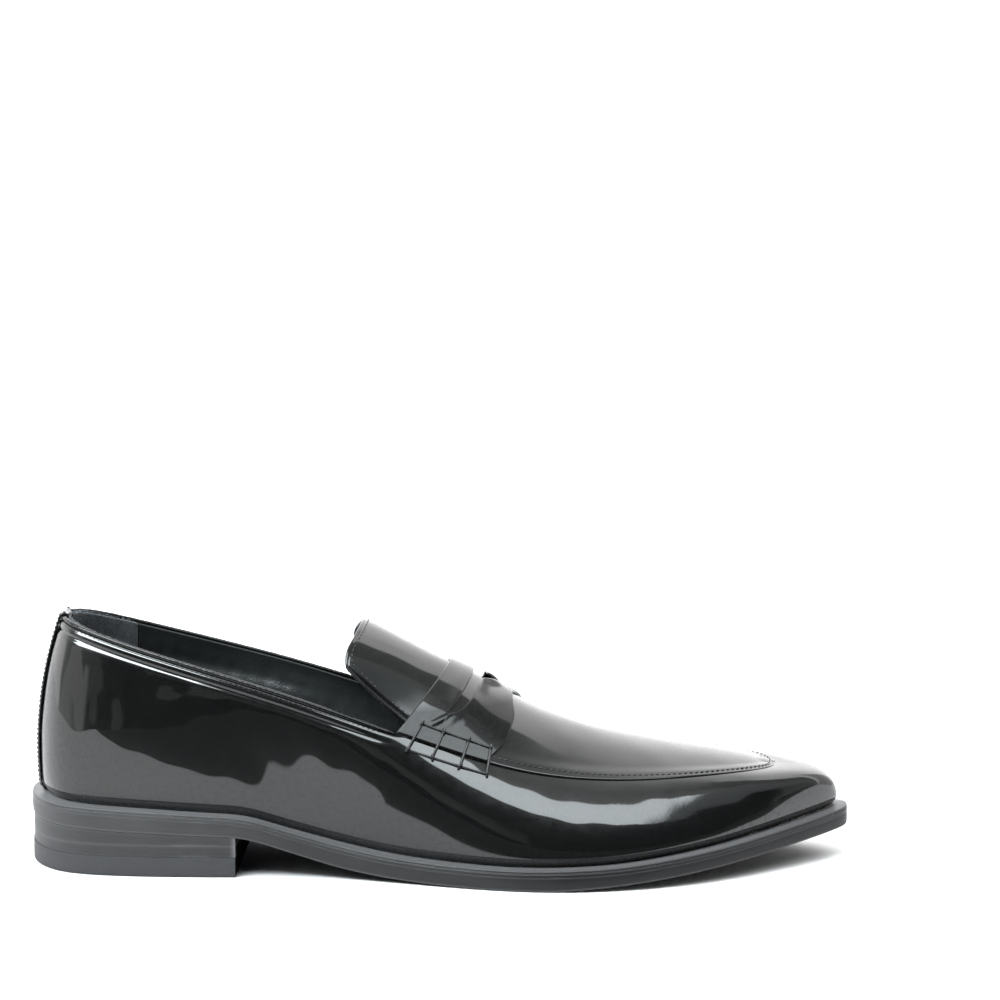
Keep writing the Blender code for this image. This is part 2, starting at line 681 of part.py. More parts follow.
def strap_height(across):
    """How high the strap's outer face stands above the apron's."""
    return (UPPER + GAP) * (1 - smooth_step(np.abs(across), STRAP_LIFT_EDGE, 1.0))


def slot_edges(across):
    """Ridge places of the slot's rear and front edges at a place across the strap."""
    part = np.minimum(np.abs(across) / SLOT_HALF_WIDTH, 1.0)
    middle = SLOT_REAR - SLOT_SWEEP * part ** 2
    opening = SLOT_OPENING * np.sqrt(1 - part ** SLOT_SQUARENESS)
    notch = NOTCH_DEPTH * np.clip(1 - (np.abs(across) / NOTCH_HALF_WIDTH) ** 2, 0, 1)
    return middle, middle + opening + notch


def row_of_ridge(t):
    dense = spread(6.0, TOE_ROW, 400)
    return np.interp(t, RIDGE_AT_ROW(dense), dense)


def saddle_strap(finish):
    """Band over the instep, with the slot left open between its rear and front parts."""
    bends = np.array([NOTCH_HALF_WIDTH, 0.6, 0.65, 0.72, SLOT_HALF_WIDTH])
    columns = np.unique(np.concatenate([spread(-1, 1, 21), bends, -bends]).round(4))
    rear, front = slot_edges(columns)
    shares = spread(0.0, 1.0, 5)
    grids = []
    for skin_depth, trim in ((0.0, 0.5), (UPPER, 1.1)):
        lines = []
        for column, slot_rear, slot_front in zip(columns, row_of_ridge(rear), row_of_ridge(front)):
            rear_row = float(STRAP_REAR(abs(column)))
            front_row = float(STRAP_FRONT(abs(column)))
            rows = np.concatenate([rear_row + (slot_rear - rear_row) * shares,
                                   slot_front + (front_row - slot_front) * shares])
            across = column * seam_share(rows, trim)
            lines.append(top(rows, across, skin_depth - strap_height(across)))
        grids.append(np.stack(lines, axis=0).reshape(-1, 3))
    points = 2 * len(shares)
    faces = [face for face in grid_faces(len(columns), points) if face[0] % points != len(shares) - 1]
    return sheet("saddle_strap", grids[0], grids[1], faces, finish)


def ladder(name, inner_side, finish):
    """Hand stitching over the strap's lower edge: four bars between two rails, as one piece."""
    low_rail, high_rail = -LADDER_REACH, LADDER_REACH
    levels = np.array([low_rail - BAR_WIDTH / 2, low_rail + BAR_WIDTH / 2, -1.5, 1.5,
                       high_rail - BAR_WIDTH / 2, high_rail + BAR_WIDTH / 2])
    row_width = BAR_WIDTH / 28.0
    rows = []
    for middle in LADDER_ROWS:
        rows += [middle - row_width / 2, middle + row_width / 2]
    rows = np.array(rows)
    grids = []
    for rise in (GAP + 0.15 + CORD, GAP + 0.15):
        lines = []
        for row in rows:
            line = []
            for level in levels:
                line.append(ladder_point(row, level, rise, inner_side))
            lines.append(line)
        grids.append(np.array(lines).reshape(-1, 3))
    faces = []
    last = len(levels) - 1
    for face in grid_faces(len(rows), len(levels)):
        line, level = divmod(face[0], len(levels))
        on_rail = level in (0, last - 1)
        on_bar = line % 2 == 0
        if on_rail or on_bar:
            faces.append(face)
    return sheet(name, grids[0], grids[1], faces, finish)


def ladder_point(row, level, height, inner_side):
    """A point at a distance above (or below) the strap's lower seam, lifted off the leather."""
    here = np.array([ROWS - row if inner_side else row])
    if level < 0:
        return side(here, rise_below_edge(here, -level), -height)[0]
    sign = 1.0 if inner_side else -1.0
    station = np.array([row])
    seam_y = around([3], here)[0, 0]
    run = abs(seam_y - float(RIDGE_Y(RIDGE_AT_ROW(row)))) * 1.35
    across = sign * (1 - level / run)
    return top(station, np.array([across]), -height - strap_height(across))[0]


def tongue_piece(name, depth, thickness, inset, finish, origin):
    ridge_t = spread(TONGUE_REAR + inset, TONGUE_ROOT, 9)
    columns = spread(-1.0, 1.0, 13)
    grids = []
    for level in (depth, depth + thickness):
        across = columns * (1 - inset / 26.0)
        points = tongue_at(np.repeat(ridge_t, len(columns)), np.tile(across, len(ridge_t)), level)
        grids.append(points)
    return sheet(name, grids[0], grids[1], grid_faces(len(ridge_t), len(columns)), finish, origin)


# ---------------------------------------------------------------- the shoe

def build_sole(finishes):
    sole_underside = WELT + GAP

    def outsole_top(t):
        return SOLE_TOP(t) - sole_underside

    def insole_bottom(t):
        return SOLE_TOP(t) - WELT + GAP + UPPER + 0.4

    def insole_top(t):
        return insole_bottom(t) + INSOLE

    def sock_bottom(t):
        return insole_top(t) + GAP + (HEEL_PAD + GAP) * (1 - smooth_step(t, 84, 104))

    lining_inset = UPPER_INSET + UPPER + LINING + STIFFENER + 3 * SOFT_GAP
    outsole = flat_piece("outsole", 0, TOE_ROW, 0.15, outsole_top, SOLE_BOTTOM, finishes["sole_leather"])
    welt_ring(finishes["edge_leather"])
    upper_lift = heel_piece("heel_lift_upper", LIFT_SETBACK, lambda t: SOLE_BOTTOM(t) - GAP,
                            lambda t: 0 * t + LOWER_LIFT_TOP + GAP, finishes["lift_leather"])
    lower_lift = heel_piece("heel_lift_lower", LIFT_SETBACK, lambda t: 0 * t + LOWER_LIFT_TOP,
                            lambda t: 0 * t + TOP_LIFT_HEIGHT + GAP, finishes["lift_leather"])
    heel_piece("top_lift", 0.0, lambda t: 0 * t + TOP_LIFT_HEIGHT, lambda t: 0 * t, finishes["heel_rubber"])
    insole = flat_piece("insole_board", 0, TOE_ROW - 1, lining_inset, insole_top, insole_bottom,
                        finishes["board"], toe_inset=0.8)
    flat_piece("sock_liner", 0, TOE_ROW - 1, lining_inset + 0.5, lambda t: sock_bottom(t) + SOCK, sock_bottom,
               finishes["sock_leather"], toe_inset=1.5)
    flat_piece("heel_pad", 0, 4.0, lining_inset + 3.0, lambda t: insole_top(t) + GAP + HEEL_PAD,
               lambda t: insole_top(t) + GAP, finishes["foam"])
    flat_piece("cork_filler", 6.6, 11.3, UPPER_INSET + LASTING_MARGIN + 1.0,
               lambda t: insole_bottom(t) - GAP, lambda t: outsole_top(t) + GAP, finishes["cork"])
    shank(finishes["shank_steel"])
    heel_nails(insole_top, finishes["nail_steel"])
    cutter = nail_cutter(insole_top)
    for piece in (outsole, upper_lift, lower_lift, insole):
        cut(piece, cutter)


def build_upper(finishes):
    patent = finishes["patent_leather"]
    seam = 0.008
    lasted_panel("wall_panel", seam, MEDIAL_SEAM_ROW - seam, patent)
    lasted_panel("medial_quarter", MEDIAL_SEAM_ROW + seam, ROWS - seam, patent)
    bead(finishes["binding_leather"])
    backstay(finishes["backstay_leather"])
    apron(finishes["apron_leather"])
    saddle_strap(finishes["strap_leather"])
    ladder("lateral_ladder_thread", False, finishes["waxed_thread"])
    ladder("medial_ladder_thread", True, finishes["waxed_thread"])


def build_inside(finishes):
    stiffener_depth = UPPER + SOFT_GAP
    inner_panel("heel_counter", -COUNTER_HALF, COUNTER_HALF, LEVELS - 2, stiffener_depth, STIFFENER,
                finishes["stiffener"])
    vault_piece("toe_puff", TOE_PUFF_ROW, stiffener_depth, STIFFENER, finishes["stiffener"])
    half = HEEL_LINING_HALF
    inner_panel("heel_lining", -half, half, LEVELS, lining_depth, LINING, finishes["suede"])
    inner_panel("lateral_quarter_lining", half + 0.02, VAMP_LINING_ROW - 0.02, LEVELS,
                lining_depth, LINING, finishes["lining_leather"])
    inner_panel("medial_quarter_lining", ROWS - VAMP_LINING_ROW + 0.02, ROWS - half - 0.02, LEVELS,
                lining_depth, LINING, finishes["lining_leather"])
    vault_piece("vamp_lining", VAMP_LINING_ROW, lining_depth, LINING, finishes["lining_leather"])


def build_tongue(finishes):
    hinge = place((TONGUE_HINGE_T, 0.0, TONGUE_HINGE_Z))
    tongue_piece("tongue", 0.0, UPPER, 0.0, finishes["tongue_leather"], hinge)
    tongue_piece("tongue_lining", UPPER + SOFT_GAP, LINING, 0.4, finishes["suede"], hinge)


def make_finishes():
    black = (0.012, 0.012, 0.014)
    charcoal = (0.045, 0.045, 0.048)
    return {
        "patent_leather": material("patent_leather", black, 0.06),
        "apron_leather": material("apron_leather", black, 0.07),
        "strap_leather": material("strap_leather", black, 0.07),
        "tongue_leather": material("tongue_leather", black, 0.07),
        "backstay_leather": material("backstay_leather", black, 0.08),
        "binding_leather": material("binding_leather", black, 0.2),
        "waxed_thread": material("waxed_thread", (0.02, 0.02, 0.02), 0.45),
        "suede": material("suede", (0.03, 0.035, 0.045), 0.95),
        "lining_leather": material("lining_leather", (0.02, 0.02, 0.021), 0.5),
        "sock_leather": material("sock_leather", (0.02, 0.02, 0.021), 0.5),
        "stiffener": material("stiffener", (0.75, 0.72, 0.65), 0.9),
        "sole_leather": material("sole_leather", charcoal, 0.4),
        "edge_leather": material("edge_leather", charcoal, 0.35),
        "lift_leather": material("lift_leather", charcoal, 0.35),
        "heel_rubber": material("heel_rubber", (0.035, 0.035, 0.036), 0.6),
        "board": material("board", (0.45, 0.33, 0.22), 0.9),
        "foam": material("foam", (0.1, 0.1, 0.11), 0.95),
        "cork": material("cork", (0.45, 0.28, 0.15), 0.95),
        "shank_steel": material("shank_steel", (0.5, 0.5, 0.52), 0.35, 1.0),
        "nail_steel": material("nail_steel", (0.5, 0.5, 0.52), 0.3, 1.0),
    }


def main():
    for old in list(bpy.data.objects):
        bpy.data.objects.remove(old, do_unlink=True)
    finishes = make_finishes()
    build_sole(finishes)
    build_upper(finishes)
    build_inside(finishes)
    build_tongue(finishes)


main()
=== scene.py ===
"""Patent penny loafer: the looks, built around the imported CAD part.

Sizes are in millimetres until a mesh is made. t runs from the back of the heel to the toe, y is
positive on the inner side of the foot and z is up. Places around the shoe are counted in rows:
row 0 is the middle of the heel, rows 1 to 13 follow the outer side, row 14 is the toe and rows
15 to 27 come back along the inner side.
"""

import math

import bmesh
import bpy
import numpy as np
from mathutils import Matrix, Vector
from mathutils.bvhtree import BVHTree


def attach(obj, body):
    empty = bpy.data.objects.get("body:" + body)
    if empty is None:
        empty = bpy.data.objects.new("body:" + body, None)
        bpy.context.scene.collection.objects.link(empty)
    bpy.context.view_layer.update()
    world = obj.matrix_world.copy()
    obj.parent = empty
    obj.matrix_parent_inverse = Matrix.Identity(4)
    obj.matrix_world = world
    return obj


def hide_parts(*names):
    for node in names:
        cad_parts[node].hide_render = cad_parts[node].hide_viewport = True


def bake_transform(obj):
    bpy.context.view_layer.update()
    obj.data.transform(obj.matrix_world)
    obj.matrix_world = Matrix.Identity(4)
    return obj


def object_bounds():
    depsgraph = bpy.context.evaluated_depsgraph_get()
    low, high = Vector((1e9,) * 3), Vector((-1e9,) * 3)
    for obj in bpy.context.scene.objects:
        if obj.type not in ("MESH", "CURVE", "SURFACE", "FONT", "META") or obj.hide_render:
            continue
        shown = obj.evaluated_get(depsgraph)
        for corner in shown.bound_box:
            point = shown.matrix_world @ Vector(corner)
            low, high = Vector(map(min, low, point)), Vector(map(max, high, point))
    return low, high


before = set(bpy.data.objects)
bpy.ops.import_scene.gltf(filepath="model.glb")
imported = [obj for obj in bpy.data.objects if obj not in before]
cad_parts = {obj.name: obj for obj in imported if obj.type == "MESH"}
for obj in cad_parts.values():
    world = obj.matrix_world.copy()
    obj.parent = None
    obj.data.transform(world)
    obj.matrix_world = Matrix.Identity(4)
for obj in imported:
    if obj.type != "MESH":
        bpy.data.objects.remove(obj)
cad_low, cad_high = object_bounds()

MM = 0.001
SIDE_SHIFT = 2.5            # the shoe's own centre line lies this far from the frame's
ORIGIN = np.array([cad_low.x, (cad_low.y + cad_high.y) / 2 + SIDE_SHIFT * MM, cad_low.z])
SHOE = "shoe"

# ---------------------------------------------------------------- driving dimensions

UPPER = 1.3                 # leather thicknesses
LINING = 0.9
STIFFENER = 1.0
GAP = 0.45
WELT = 2.6
BEAD = 0.85                 # radius of the rolled edge round the opening
UPPER_INSET = 3.8           # how far the upper stands inside the edge of the sole
HEEL_BREAST = 79.0
TOP_LIFT_HEIGHT = 7.2
LOWER_LIFT_TOP = 11.4

# Edge of the sole (t, y) and top edge of the upper (t, y, z) at each row
STATIONS = (
    (0, 0, 12.5, 0, 91.5),
    (4.5, -17, 14.5, -9.5, 91.2),
    (16, -29, 22, -17.5, 89.2),
    (38, -34, 41, -24, 83.6),
    (75, -35, 76, -29, 73.8),
    (106, -35, 104, -32, 65.6),
    (140, -42, 134, -33.5, 55.6),
    (172, -50, 160, -33.5, 46.8),
    (200, -52.5, 186, -33, 39.6),
    (232, -47, 216, -30, 36.4),
    (260, -33.5, 243, -23.5, 36.2),
    (282, -17.5, 262, -14.5, 35.9),
    (297, -4.5, 271.5, -6.5, 35.3),
    (303, 2.5, 274.8, -1.5, 35.1),
    (304, 7.5, 275.8, 4.5, 35),
    (303, 12.5, 275, 10, 35.1),
    (296, 19.5, 271, 15.5, 35.4),
    (282, 28, 262, 21.5, 36.2),
    (262, 37, 243, 28, 37),
    (238, 44.5, 219, 32, 38.2),
    (214, 47.5, 194, 33.5, 41),
    (184, 42.5, 168, 33.5, 46.6),
    (150, 30.5, 138, 33, 55.2),
    (115, 25.5, 106, 31, 65.3),
    (75, 29, 76, 28.5, 74),
    (40, 33.5, 41, 24, 83.6),
    (16, 29, 22, 17.5, 89.2),
    (4.5, 17, 14.5, 9.5, 91.2),
)
ROWS = len(STATIONS)
TOE_ROW = ROWS // 2
MEDIAL_SEAM_ROW = 21.9
BINDING_END_ROW = 6.14
APRON_REAR_ROW = 6.4
BACKSTAY_HALF = 0.6
COUNTER_HALF = 4.2
HEEL_LINING_HALF = 2.8
QUARTER_LINING_END = 6.33

TONGUE_REAR = 123.7
TONGUE_ROOT = 157.6
SLOT_HALF_WIDTH = 0.74
SLOT_REAR = 164.3
SLOT_SWEEP = 1.0
SLOT_OPENING = 3.5
SLOT_SQUARENESS = 6
NOTCH_HALF_WIDTH = 0.16
NOTCH_DEPTH = 4.8
STRAP_LIFT_EDGE = 0.4
STRAP_WIDEN = 1.012         # how much further than the apron the strap reaches across

# ---------------------------------------------------------------- fair curves

TABLE_STEPS = 64            # entries per row in the tables of curves around the shoe
ROW_FAIRING = 0.42          # in rows
CURVE_STEP = 0.25           # mm between entries of a curve's table
CURVE_FAIRING = 7.0         # mm


def unit(vectors):
    return vectors / np.maximum(np.linalg.norm(vectors, axis=-1, keepdims=True), 1e-9)


def fair(values, sigma, closed=False):
    """Blur columns of values enough to even out their curvature, without shrinking them."""
    reach = int(4 * sigma) + 1
    offsets = np.arange(-reach, reach + 1)
    kernel = np.exp(-0.5 * (offsets / sigma) ** 2)
    kernel /= kernel.sum()

    def blur(v):
        if closed:
            padded = np.concatenate([v[-reach:], v, v[:reach]])
        else:
            before = 2 * v[0] - v[reach:0:-1]
            after = 2 * v[-1] - v[-2:-reach - 2:-1]
            padded = np.concatenate([before, v, after])
        return np.stack([np.convolve(column, kernel, "valid") for column in padded.T], axis=1)

    once = blur(values)
    return 2 * once - blur(once)


def smooth_curve(points, fairing=CURVE_FAIRING):
    """Return a curve near the points, even in curvature, as a function of x."""
    x = np.array([p[0] for p in points], float)
    y = np.array([p[1] for p in points], float)
    step = np.diff(x)
    slope = np.diff(y) / step
    tangent = np.zeros(len(x))
    tangent[0] = slope[0]
    tangent[-1] = slope[-1]
    for i in range(1, len(x) - 1):
        if slope[i - 1] * slope[i] > 0:
            before = 2 * step[i] + step[i - 1]
            after = step[i] + 2 * step[i - 1]
            tangent[i] = (before + after) / (before / slope[i - 1] + after / slope[i])
    span = x[-1] - x[0]
    count = max(400, int(span / CURVE_STEP))
    at = np.linspace(x[0], x[-1], count)
    i = np.clip(np.searchsorted(x, at, side="right") - 1, 0, len(x) - 2)
    h = step[i]
    s = (at - x[i]) / h
    rise = s * s * (3 - 2 * s)
    dense = (y[i] + (y[i + 1] - y[i]) * rise + h * tangent[i] * s * (1 - s) ** 2
             - h * tangent[i + 1] * s * s * (1 - s))
    dense = fair(dense[:, None], fairing * count / span)[:, 0]
    return lambda place: np.interp(np.asarray(place, float), at, dense)


def smooth_step(at, start, end):
    """0 before start and 1 after end, with an even change between; start may lie above end."""
    s = np.clip((np.asarray(at, float) - start) / (end - start), 0.0, 1.0)
    return s * s * (3 - 2 * s)


def station_table():
    """The station columns at closely spaced rows, as one fair closed curve."""
    values = np.array(STATIONS, float)
    ahead = np.roll(values[:, :2], -1, axis=0)
    knots = np.sqrt(np.linalg.norm(ahead - values[:, :2], axis=1))
    row = np.arange(ROWS * TABLE_STEPS) / TABLE_STEPS
    i = np.floor(row).astype(int)
    s = (row - i)[:, None]
    p0, p1, p2, p3 = (values[(i + k) % ROWS] for k in (-1, 0, 1, 2))
    h0, h1, h2 = (knots[(i + k) % ROWS][:, None] for k in (-1, 0, 1))
    d0, d1, d2 = (p1 - p0) / h0, (p2 - p1) / h1, (p3 - p2) / h2
    m1 = h1 * (d0 * h1 + d1 * h0) / (h0 + h1)
    m2 = h1 * (d1 * h2 + d2 * h1) / (h1 + h2)
    dense = ((2 * s ** 3 - 3 * s ** 2 + 1) * p1 + (s ** 3 - 2 * s ** 2 + s) * m1
             + (3 * s ** 2 - 2 * s ** 3) * p2 + (s ** 3 - s ** 2) * m2)
    return fair(dense, ROW_FAIRING * TABLE_STEPS, True)


TABLE = station_table()
RUN = unit(np.roll(TABLE[:, :2], -1, axis=0) - np.roll(TABLE[:, :2], 1, axis=0))
TABLE = np.column_stack([TABLE, RUN[:, 1], -RUN[:, 0]])
OUTLINE, TOP_EDGE, TOP_PLAN, TOP_Y, OUTWARD = [0, 1], [2, 3, 4], [2, 3], [3], [5, 6]


def around(columns, row):
    """Columns of the table of stations at any fractional rows."""
    place = np.mod(np.asarray(row, float), ROWS) * TABLE_STEPS
    i = np.floor(place).astype(int)
    s = (place - i)[..., None]
    values = TABLE[:, columns]
    return values[i % len(TABLE)] * (1 - s) + values[(i + 1) % len(TABLE)] * s


SOLE_TOP = smooth_curve(((0, 25.6), (34, 24.6), (64, 23), (80, 22), (99, 17), (118, 12.4), (136, 9.5),
                         (154, 8.2), (180, 7.6), (209, 8.3), (245, 11.3), (283, 16), (304, 18.8)), 5)
SOLE_BOTTOM = smooth_curve(((0, 17.8), (60, 15.3), (79, 14.5), (100, 8.9), (118, 4.1), (136, 1.5),
                            (154, 0.4), (170, 0), (192, 0), (209, 1), (245, 4.4), (283, 9), (304, 11.4)), 5)
LOW_OUT = smooth_curve(((0, 2.6), (50, 2.2), (95, 0.5), (125, 1.2), (150, 2.8), (200, 3.4), (260, 2.5),
                        (292, 1.6), (304, 1.3)), 12)
LOW_UP = smooth_curve(((0, 25), (75, 20), (140, 15), (200, 10.5), (260, 9), (283, 11), (304, 14)), 12)
HIGH_OUT = smooth_curve(((0, 7), (60, 5), (95, 3.9), (118, 5.3), (140, 8.6), (165, 10), (200, 8.5),
                         (260, 8.7), (283, 11), (304, 15)), 12)
HIGH_DOWN = smooth_curve(((0, 19.5), (75, 17), (106, 15), (140, 10.5), (172, 8.6), (200, 7), (232, 5),
                          (260, 4), (283, 2), (304, 0.6)), 12)
RIDGE = smooth_curve(((118, 92.2), (124, 89.4), (137.5, 82.3), (145, 78.2), (155, 73.4), (165, 69),
                      (174.5, 63.2), (182, 58.8), (191, 55), (204, 50.2), (219, 46.4), (241.5, 42.1),
                      (256.5, 39.7), (271, 36.6), (275.8, 35)))
RIDGE_Y = smooth_curve(((118, 0.5), (150, 1), (200, 0.5), (235, 1.5), (262, 3.5), (275.8, 4.5)), 9)
RIDGE_AT_ROW = smooth_curve(((6, 150.5), (7, 170.5), (8, 188.5), (9, 217), (10, 243.5), (11, 262.5),
                             (12, 271), (13, 274.5), (14, 275.8)), 0.35)
STRAP_REAR = smooth_curve(((0, 6.25), (0.6, 6.2), (1, 6.16)), 0.04)
STRAP_FRONT = smooth_curve(((0, 7.46), (0.25, 7.52), (0.52, 7.61), (0.75, 7.59), (1, 7.42)), 0.04)
TONGUE_EDGE_T = smooth_curve(((123.7, 118.4), (126, 119), (131, 121.5), (140, 128), (148, 134.5),
                              (158, 142.6)), 2)
TONGUE_HALF = smooth_curve(((123.7, 23.5), (126, 25.2), (131, 26.3), (140, 27.2), (148, 28.2),
                            (158, 29.4)), 2)
TONGUE_EDGE_Z = smooth_curve(((123.7, 80.4), (126, 77.2), (131, 74), (140, 67.2), (148, 61.2),
                              (158, 54.4)), 2)

# ---------------------------------------------------------------- surfaces of the last

TUCK = 1.9                  # how far the upper turns in where it meets the sole
TUCK_HEIGHT = 2.2
ROUNDNESS = 0.96            # share of the arch across the foot that is a parabola
NEAR = np.array([-0.02, 0, 0.02])       # rows or rises of three neighbouring lines, for a normal
CLOSE = np.array([-0.01, 0, 0.01])


def with_height(plan, height):
    return np.concatenate([plan, np.broadcast_to(height, plan.shape[:-1])[..., None]], axis=-1)


def sole_outline(row, inset):
    """Edge of the sole in plan, moved inwards by inset."""
    return around(OUTLINE, row) - around(OUTWARD, row) * np.asarray(inset, float)[..., None]


def side_surface(row, rise):
    """Outside of the upper: rise is 0 at the sole and 1 at the top edge."""
    row, rise = np.broadcast_arrays(np.asarray(row, float), np.asarray(rise, float))
    foot_plan = sole_outline(row, UPPER_INSET)
    foot = with_height(foot_plan, SOLE_TOP(foot_plan[..., 0]))
    top = around(TOP_EDGE, row)
    edge_t = around(OUTLINE, row)[..., 0]
    out = with_height(around(OUTWARD, row), 0.0)
    up = np.array([0.0, 0.0, 1.0])
    low = foot + out * LOW_OUT(edge_t)[..., None] + up * LOW_UP(edge_t)[..., None]
    high = top + out * HIGH_OUT(edge_t)[..., None] - up * HIGH_DOWN(edge_t)[..., None]
    s = rise[..., None]
    surface = (1 - s) ** 3 * foot + 3 * (1 - s) ** 2 * s * low + 3 * (1 - s) * s ** 2 * high + s ** 3 * top
    above_foot = surface[..., 2] - foot[..., 2]
    tuck = TUCK * np.exp(-(np.maximum(above_foot, 0) / TUCK_HEIGHT) ** 2)
    return surface - out * tuck[..., None]


def arch(ridge, edge, across):
    """Points on an arch from the ridge, at across 0, down to the edge, at across -1 or 1."""
    part = np.abs(across)
    fall = ROUNDNESS * part ** 2 + (1 - ROUNDNESS) * part ** 4
    return ridge + (edge - ridge) * np.stack([fall, part, fall], axis=-1)


def ridge_point(t):
    return np.stack([t, RIDGE_Y(t), RIDGE(t)], axis=-1)


def top_surface(row, across):
    """Instep and apron: across is -1 on the outer seam, 0 on the ridge and 1 on the inner seam."""
    row, across = np.broadcast_arrays(np.asarray(row, float), np.asarray(across, float))
    edge = np.where((across < 0)[..., None], around(TOP_EDGE, row), around(TOP_EDGE, ROWS - row))
    return arch(ridge_point(RIDGE_AT_ROW(row)), edge, across)


def tongue_surface(ridge_t, across):
    ridge_t, across = np.broadcast_arrays(np.asarray(ridge_t, float), np.asarray(across, float))
    side_y = RIDGE_Y(ridge_t) + np.sign(across) * TONGUE_HALF(ridge_t)
    edge = np.stack([TONGUE_EDGE_T(ridge_t), side_y, TONGUE_EDGE_Z(ridge_t)], axis=-1)
    return arch(ridge_point(ridge_t), edge, across)


def normals(grid):
    """Unit normals of a grid of points, by central differences."""
    return unit(np.cross(np.gradient(grid, axis=0), np.gradient(grid, axis=1)))


def rise_below_edge(row, drop):
    """Rise of the point that lies drop below the top edge of the upper."""
    edge_t = around(OUTLINE, row)[..., 0]
    reach = 3 * np.hypot(HIGH_OUT(edge_t), HIGH_DOWN(edge_t))
    return 1 - drop / reach


def row_of_ridge(t):
    dense = np.linspace(6, TOE_ROW, 800)
    return np.interp(t, RIDGE_AT_ROW(dense), dense)


def rows_from_heel(rows):
    """Rows between a place and the middle of the heel, the shorter way round."""
    return np.minimum(np.mod(rows, ROWS), ROWS - np.mod(rows, ROWS))


def side_line(rows, rises, steps=NEAR):
    """Points of the side at these rows and rises, with the normals there."""
    grid = side_surface(rows[:, None], rises[:, None] + steps)
    return grid[:, 1], normals(grid)[:, 1]


def strap_height(across):
    """How high the strap's outer face stands above the apron's."""
    return 1.45 - 0.15 * smooth_step(np.abs(across), STRAP_LIFT_EDGE, 1.0)


# ---------------------------------------------------------------- meshes

EDGE_LINES = (0.0, 0.08, 0.25, 0.5, 0.8, 1.15, 1.8)   # spacing of the lines that round an edge off
WELD = 1e-6
STITCH_POINTS = 7
rng = np.random.default_rng(11)


def lines(start, end, count, edge=0.0, edge_end=None, marks=()):
    """Values from start to end, evenly spaced, with closer ones to carry a rounded edge."""
    edge_end = edge if edge_end is None else edge_end
    inner = np.linspace(start, end, count)
    inner = inner[(inner > start + edge * 2.2) & (inner < end - edge_end * 2.2)]
    near = [start + edge * e for e in EDGE_LINES] if edge else [start]
    far = [end - edge_end * e for e in EDGE_LINES] if edge_end else [end]
    return np.unique(np.round(np.concatenate([near, inner, far, list(marks)]), 6))


def quads(n, m, closed=False):
    """Faces between n lines of m points; closed joins the last line to the first."""
    i = np.arange(n if closed else n - 1)[:, None]
    k = np.arange(m - 1)
    a, d = i * m + k, (i + 1) % n * m + k
    return np.stack([a, d, d + 1, a + 1], axis=-1).reshape(-1, 4)


def to_world(points):
    return np.asarray(points, float).reshape(-1, 3) * MM + ORIGIN


def make(name, points, faces, finish, replaced=(), body=SHOE, uv=None, sharp=None, weld=WELD):
    """Make a piece from points in millimetres, put it on its body and hide the CAD nodes it replaces."""
    bm = bmesh.new()
    verts = [bm.verts.new(p) for p in to_world(points)]
    layer = bm.loops.layers.uv.new("UVMap") if uv is not None else None
    for face in faces:
        corners = [int(c) for c in face]
        made = bm.faces.new([verts[c] for c in corners])
        if layer is not None:
            for loop, corner in zip(made.loops, corners):
                loop[layer].uv = uv[corner]
    if weld:
        bmesh.ops.remove_doubles(bm, verts=bm.verts, dist=weld)
    loose = [v for v in bm.verts if not v.link_faces]
    bmesh.ops.delete(bm, geom=loose, context="VERTS")
    bmesh.ops.recalc_face_normals(bm, faces=bm.faces)
    material, slot = finishes[finish]
    mesh = bpy.data.meshes.new(name)
    bm.to_mesh(mesh)
    bm.free()
    mesh.materials.append(material)
    mesh.shade_smooth()
    if sharp:
        mesh.set_sharp_from_angle(angle=math.radians(sharp))
    made = bpy.data.objects.new(name, mesh)
    bpy.context.scene.collection.objects.link(made)
    if body:
        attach(made, body)
    if replaced:
        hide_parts(*replaced)
    return made


def lengths(grid, axis):
    """Distance travelled along each line of a grid."""
    steps = np.linalg.norm(np.diff(grid, axis=axis), axis=-1)
    start = np.zeros_like(np.take(steps, [0], axis=axis))
    return np.cumsum(np.concatenate([start, steps], axis=axis), axis=axis)


def run_along(path):
    """Distance travelled at each point of a path."""
    return np.concatenate([[0], np.cumsum(np.linalg.norm(np.diff(path, axis=0), axis=1))])


def edge_distance(grid, free):
    """Distance from each point of a grid to its nearest free edge (start, end, low side, high side)."""
    nearest = np.full(grid.shape[:2], 1e3)
    for axis in (0, 1):
        run = lengths(grid, axis)
        if free[2 * axis]:
            nearest = np.minimum(nearest, run)
        if free[2 * axis + 1]:
            nearest = np.minimum(nearest, np.take(run, [-1], axis=axis) - run)
    return nearest


def grid_uv(u, v):
    """UV in centimetres from a distance for each line of a grid and one for each point."""
    return np.stack([u[:, None] * np.ones(v.shape[1]), v], axis=-1).reshape(-1, 2) * 0.1


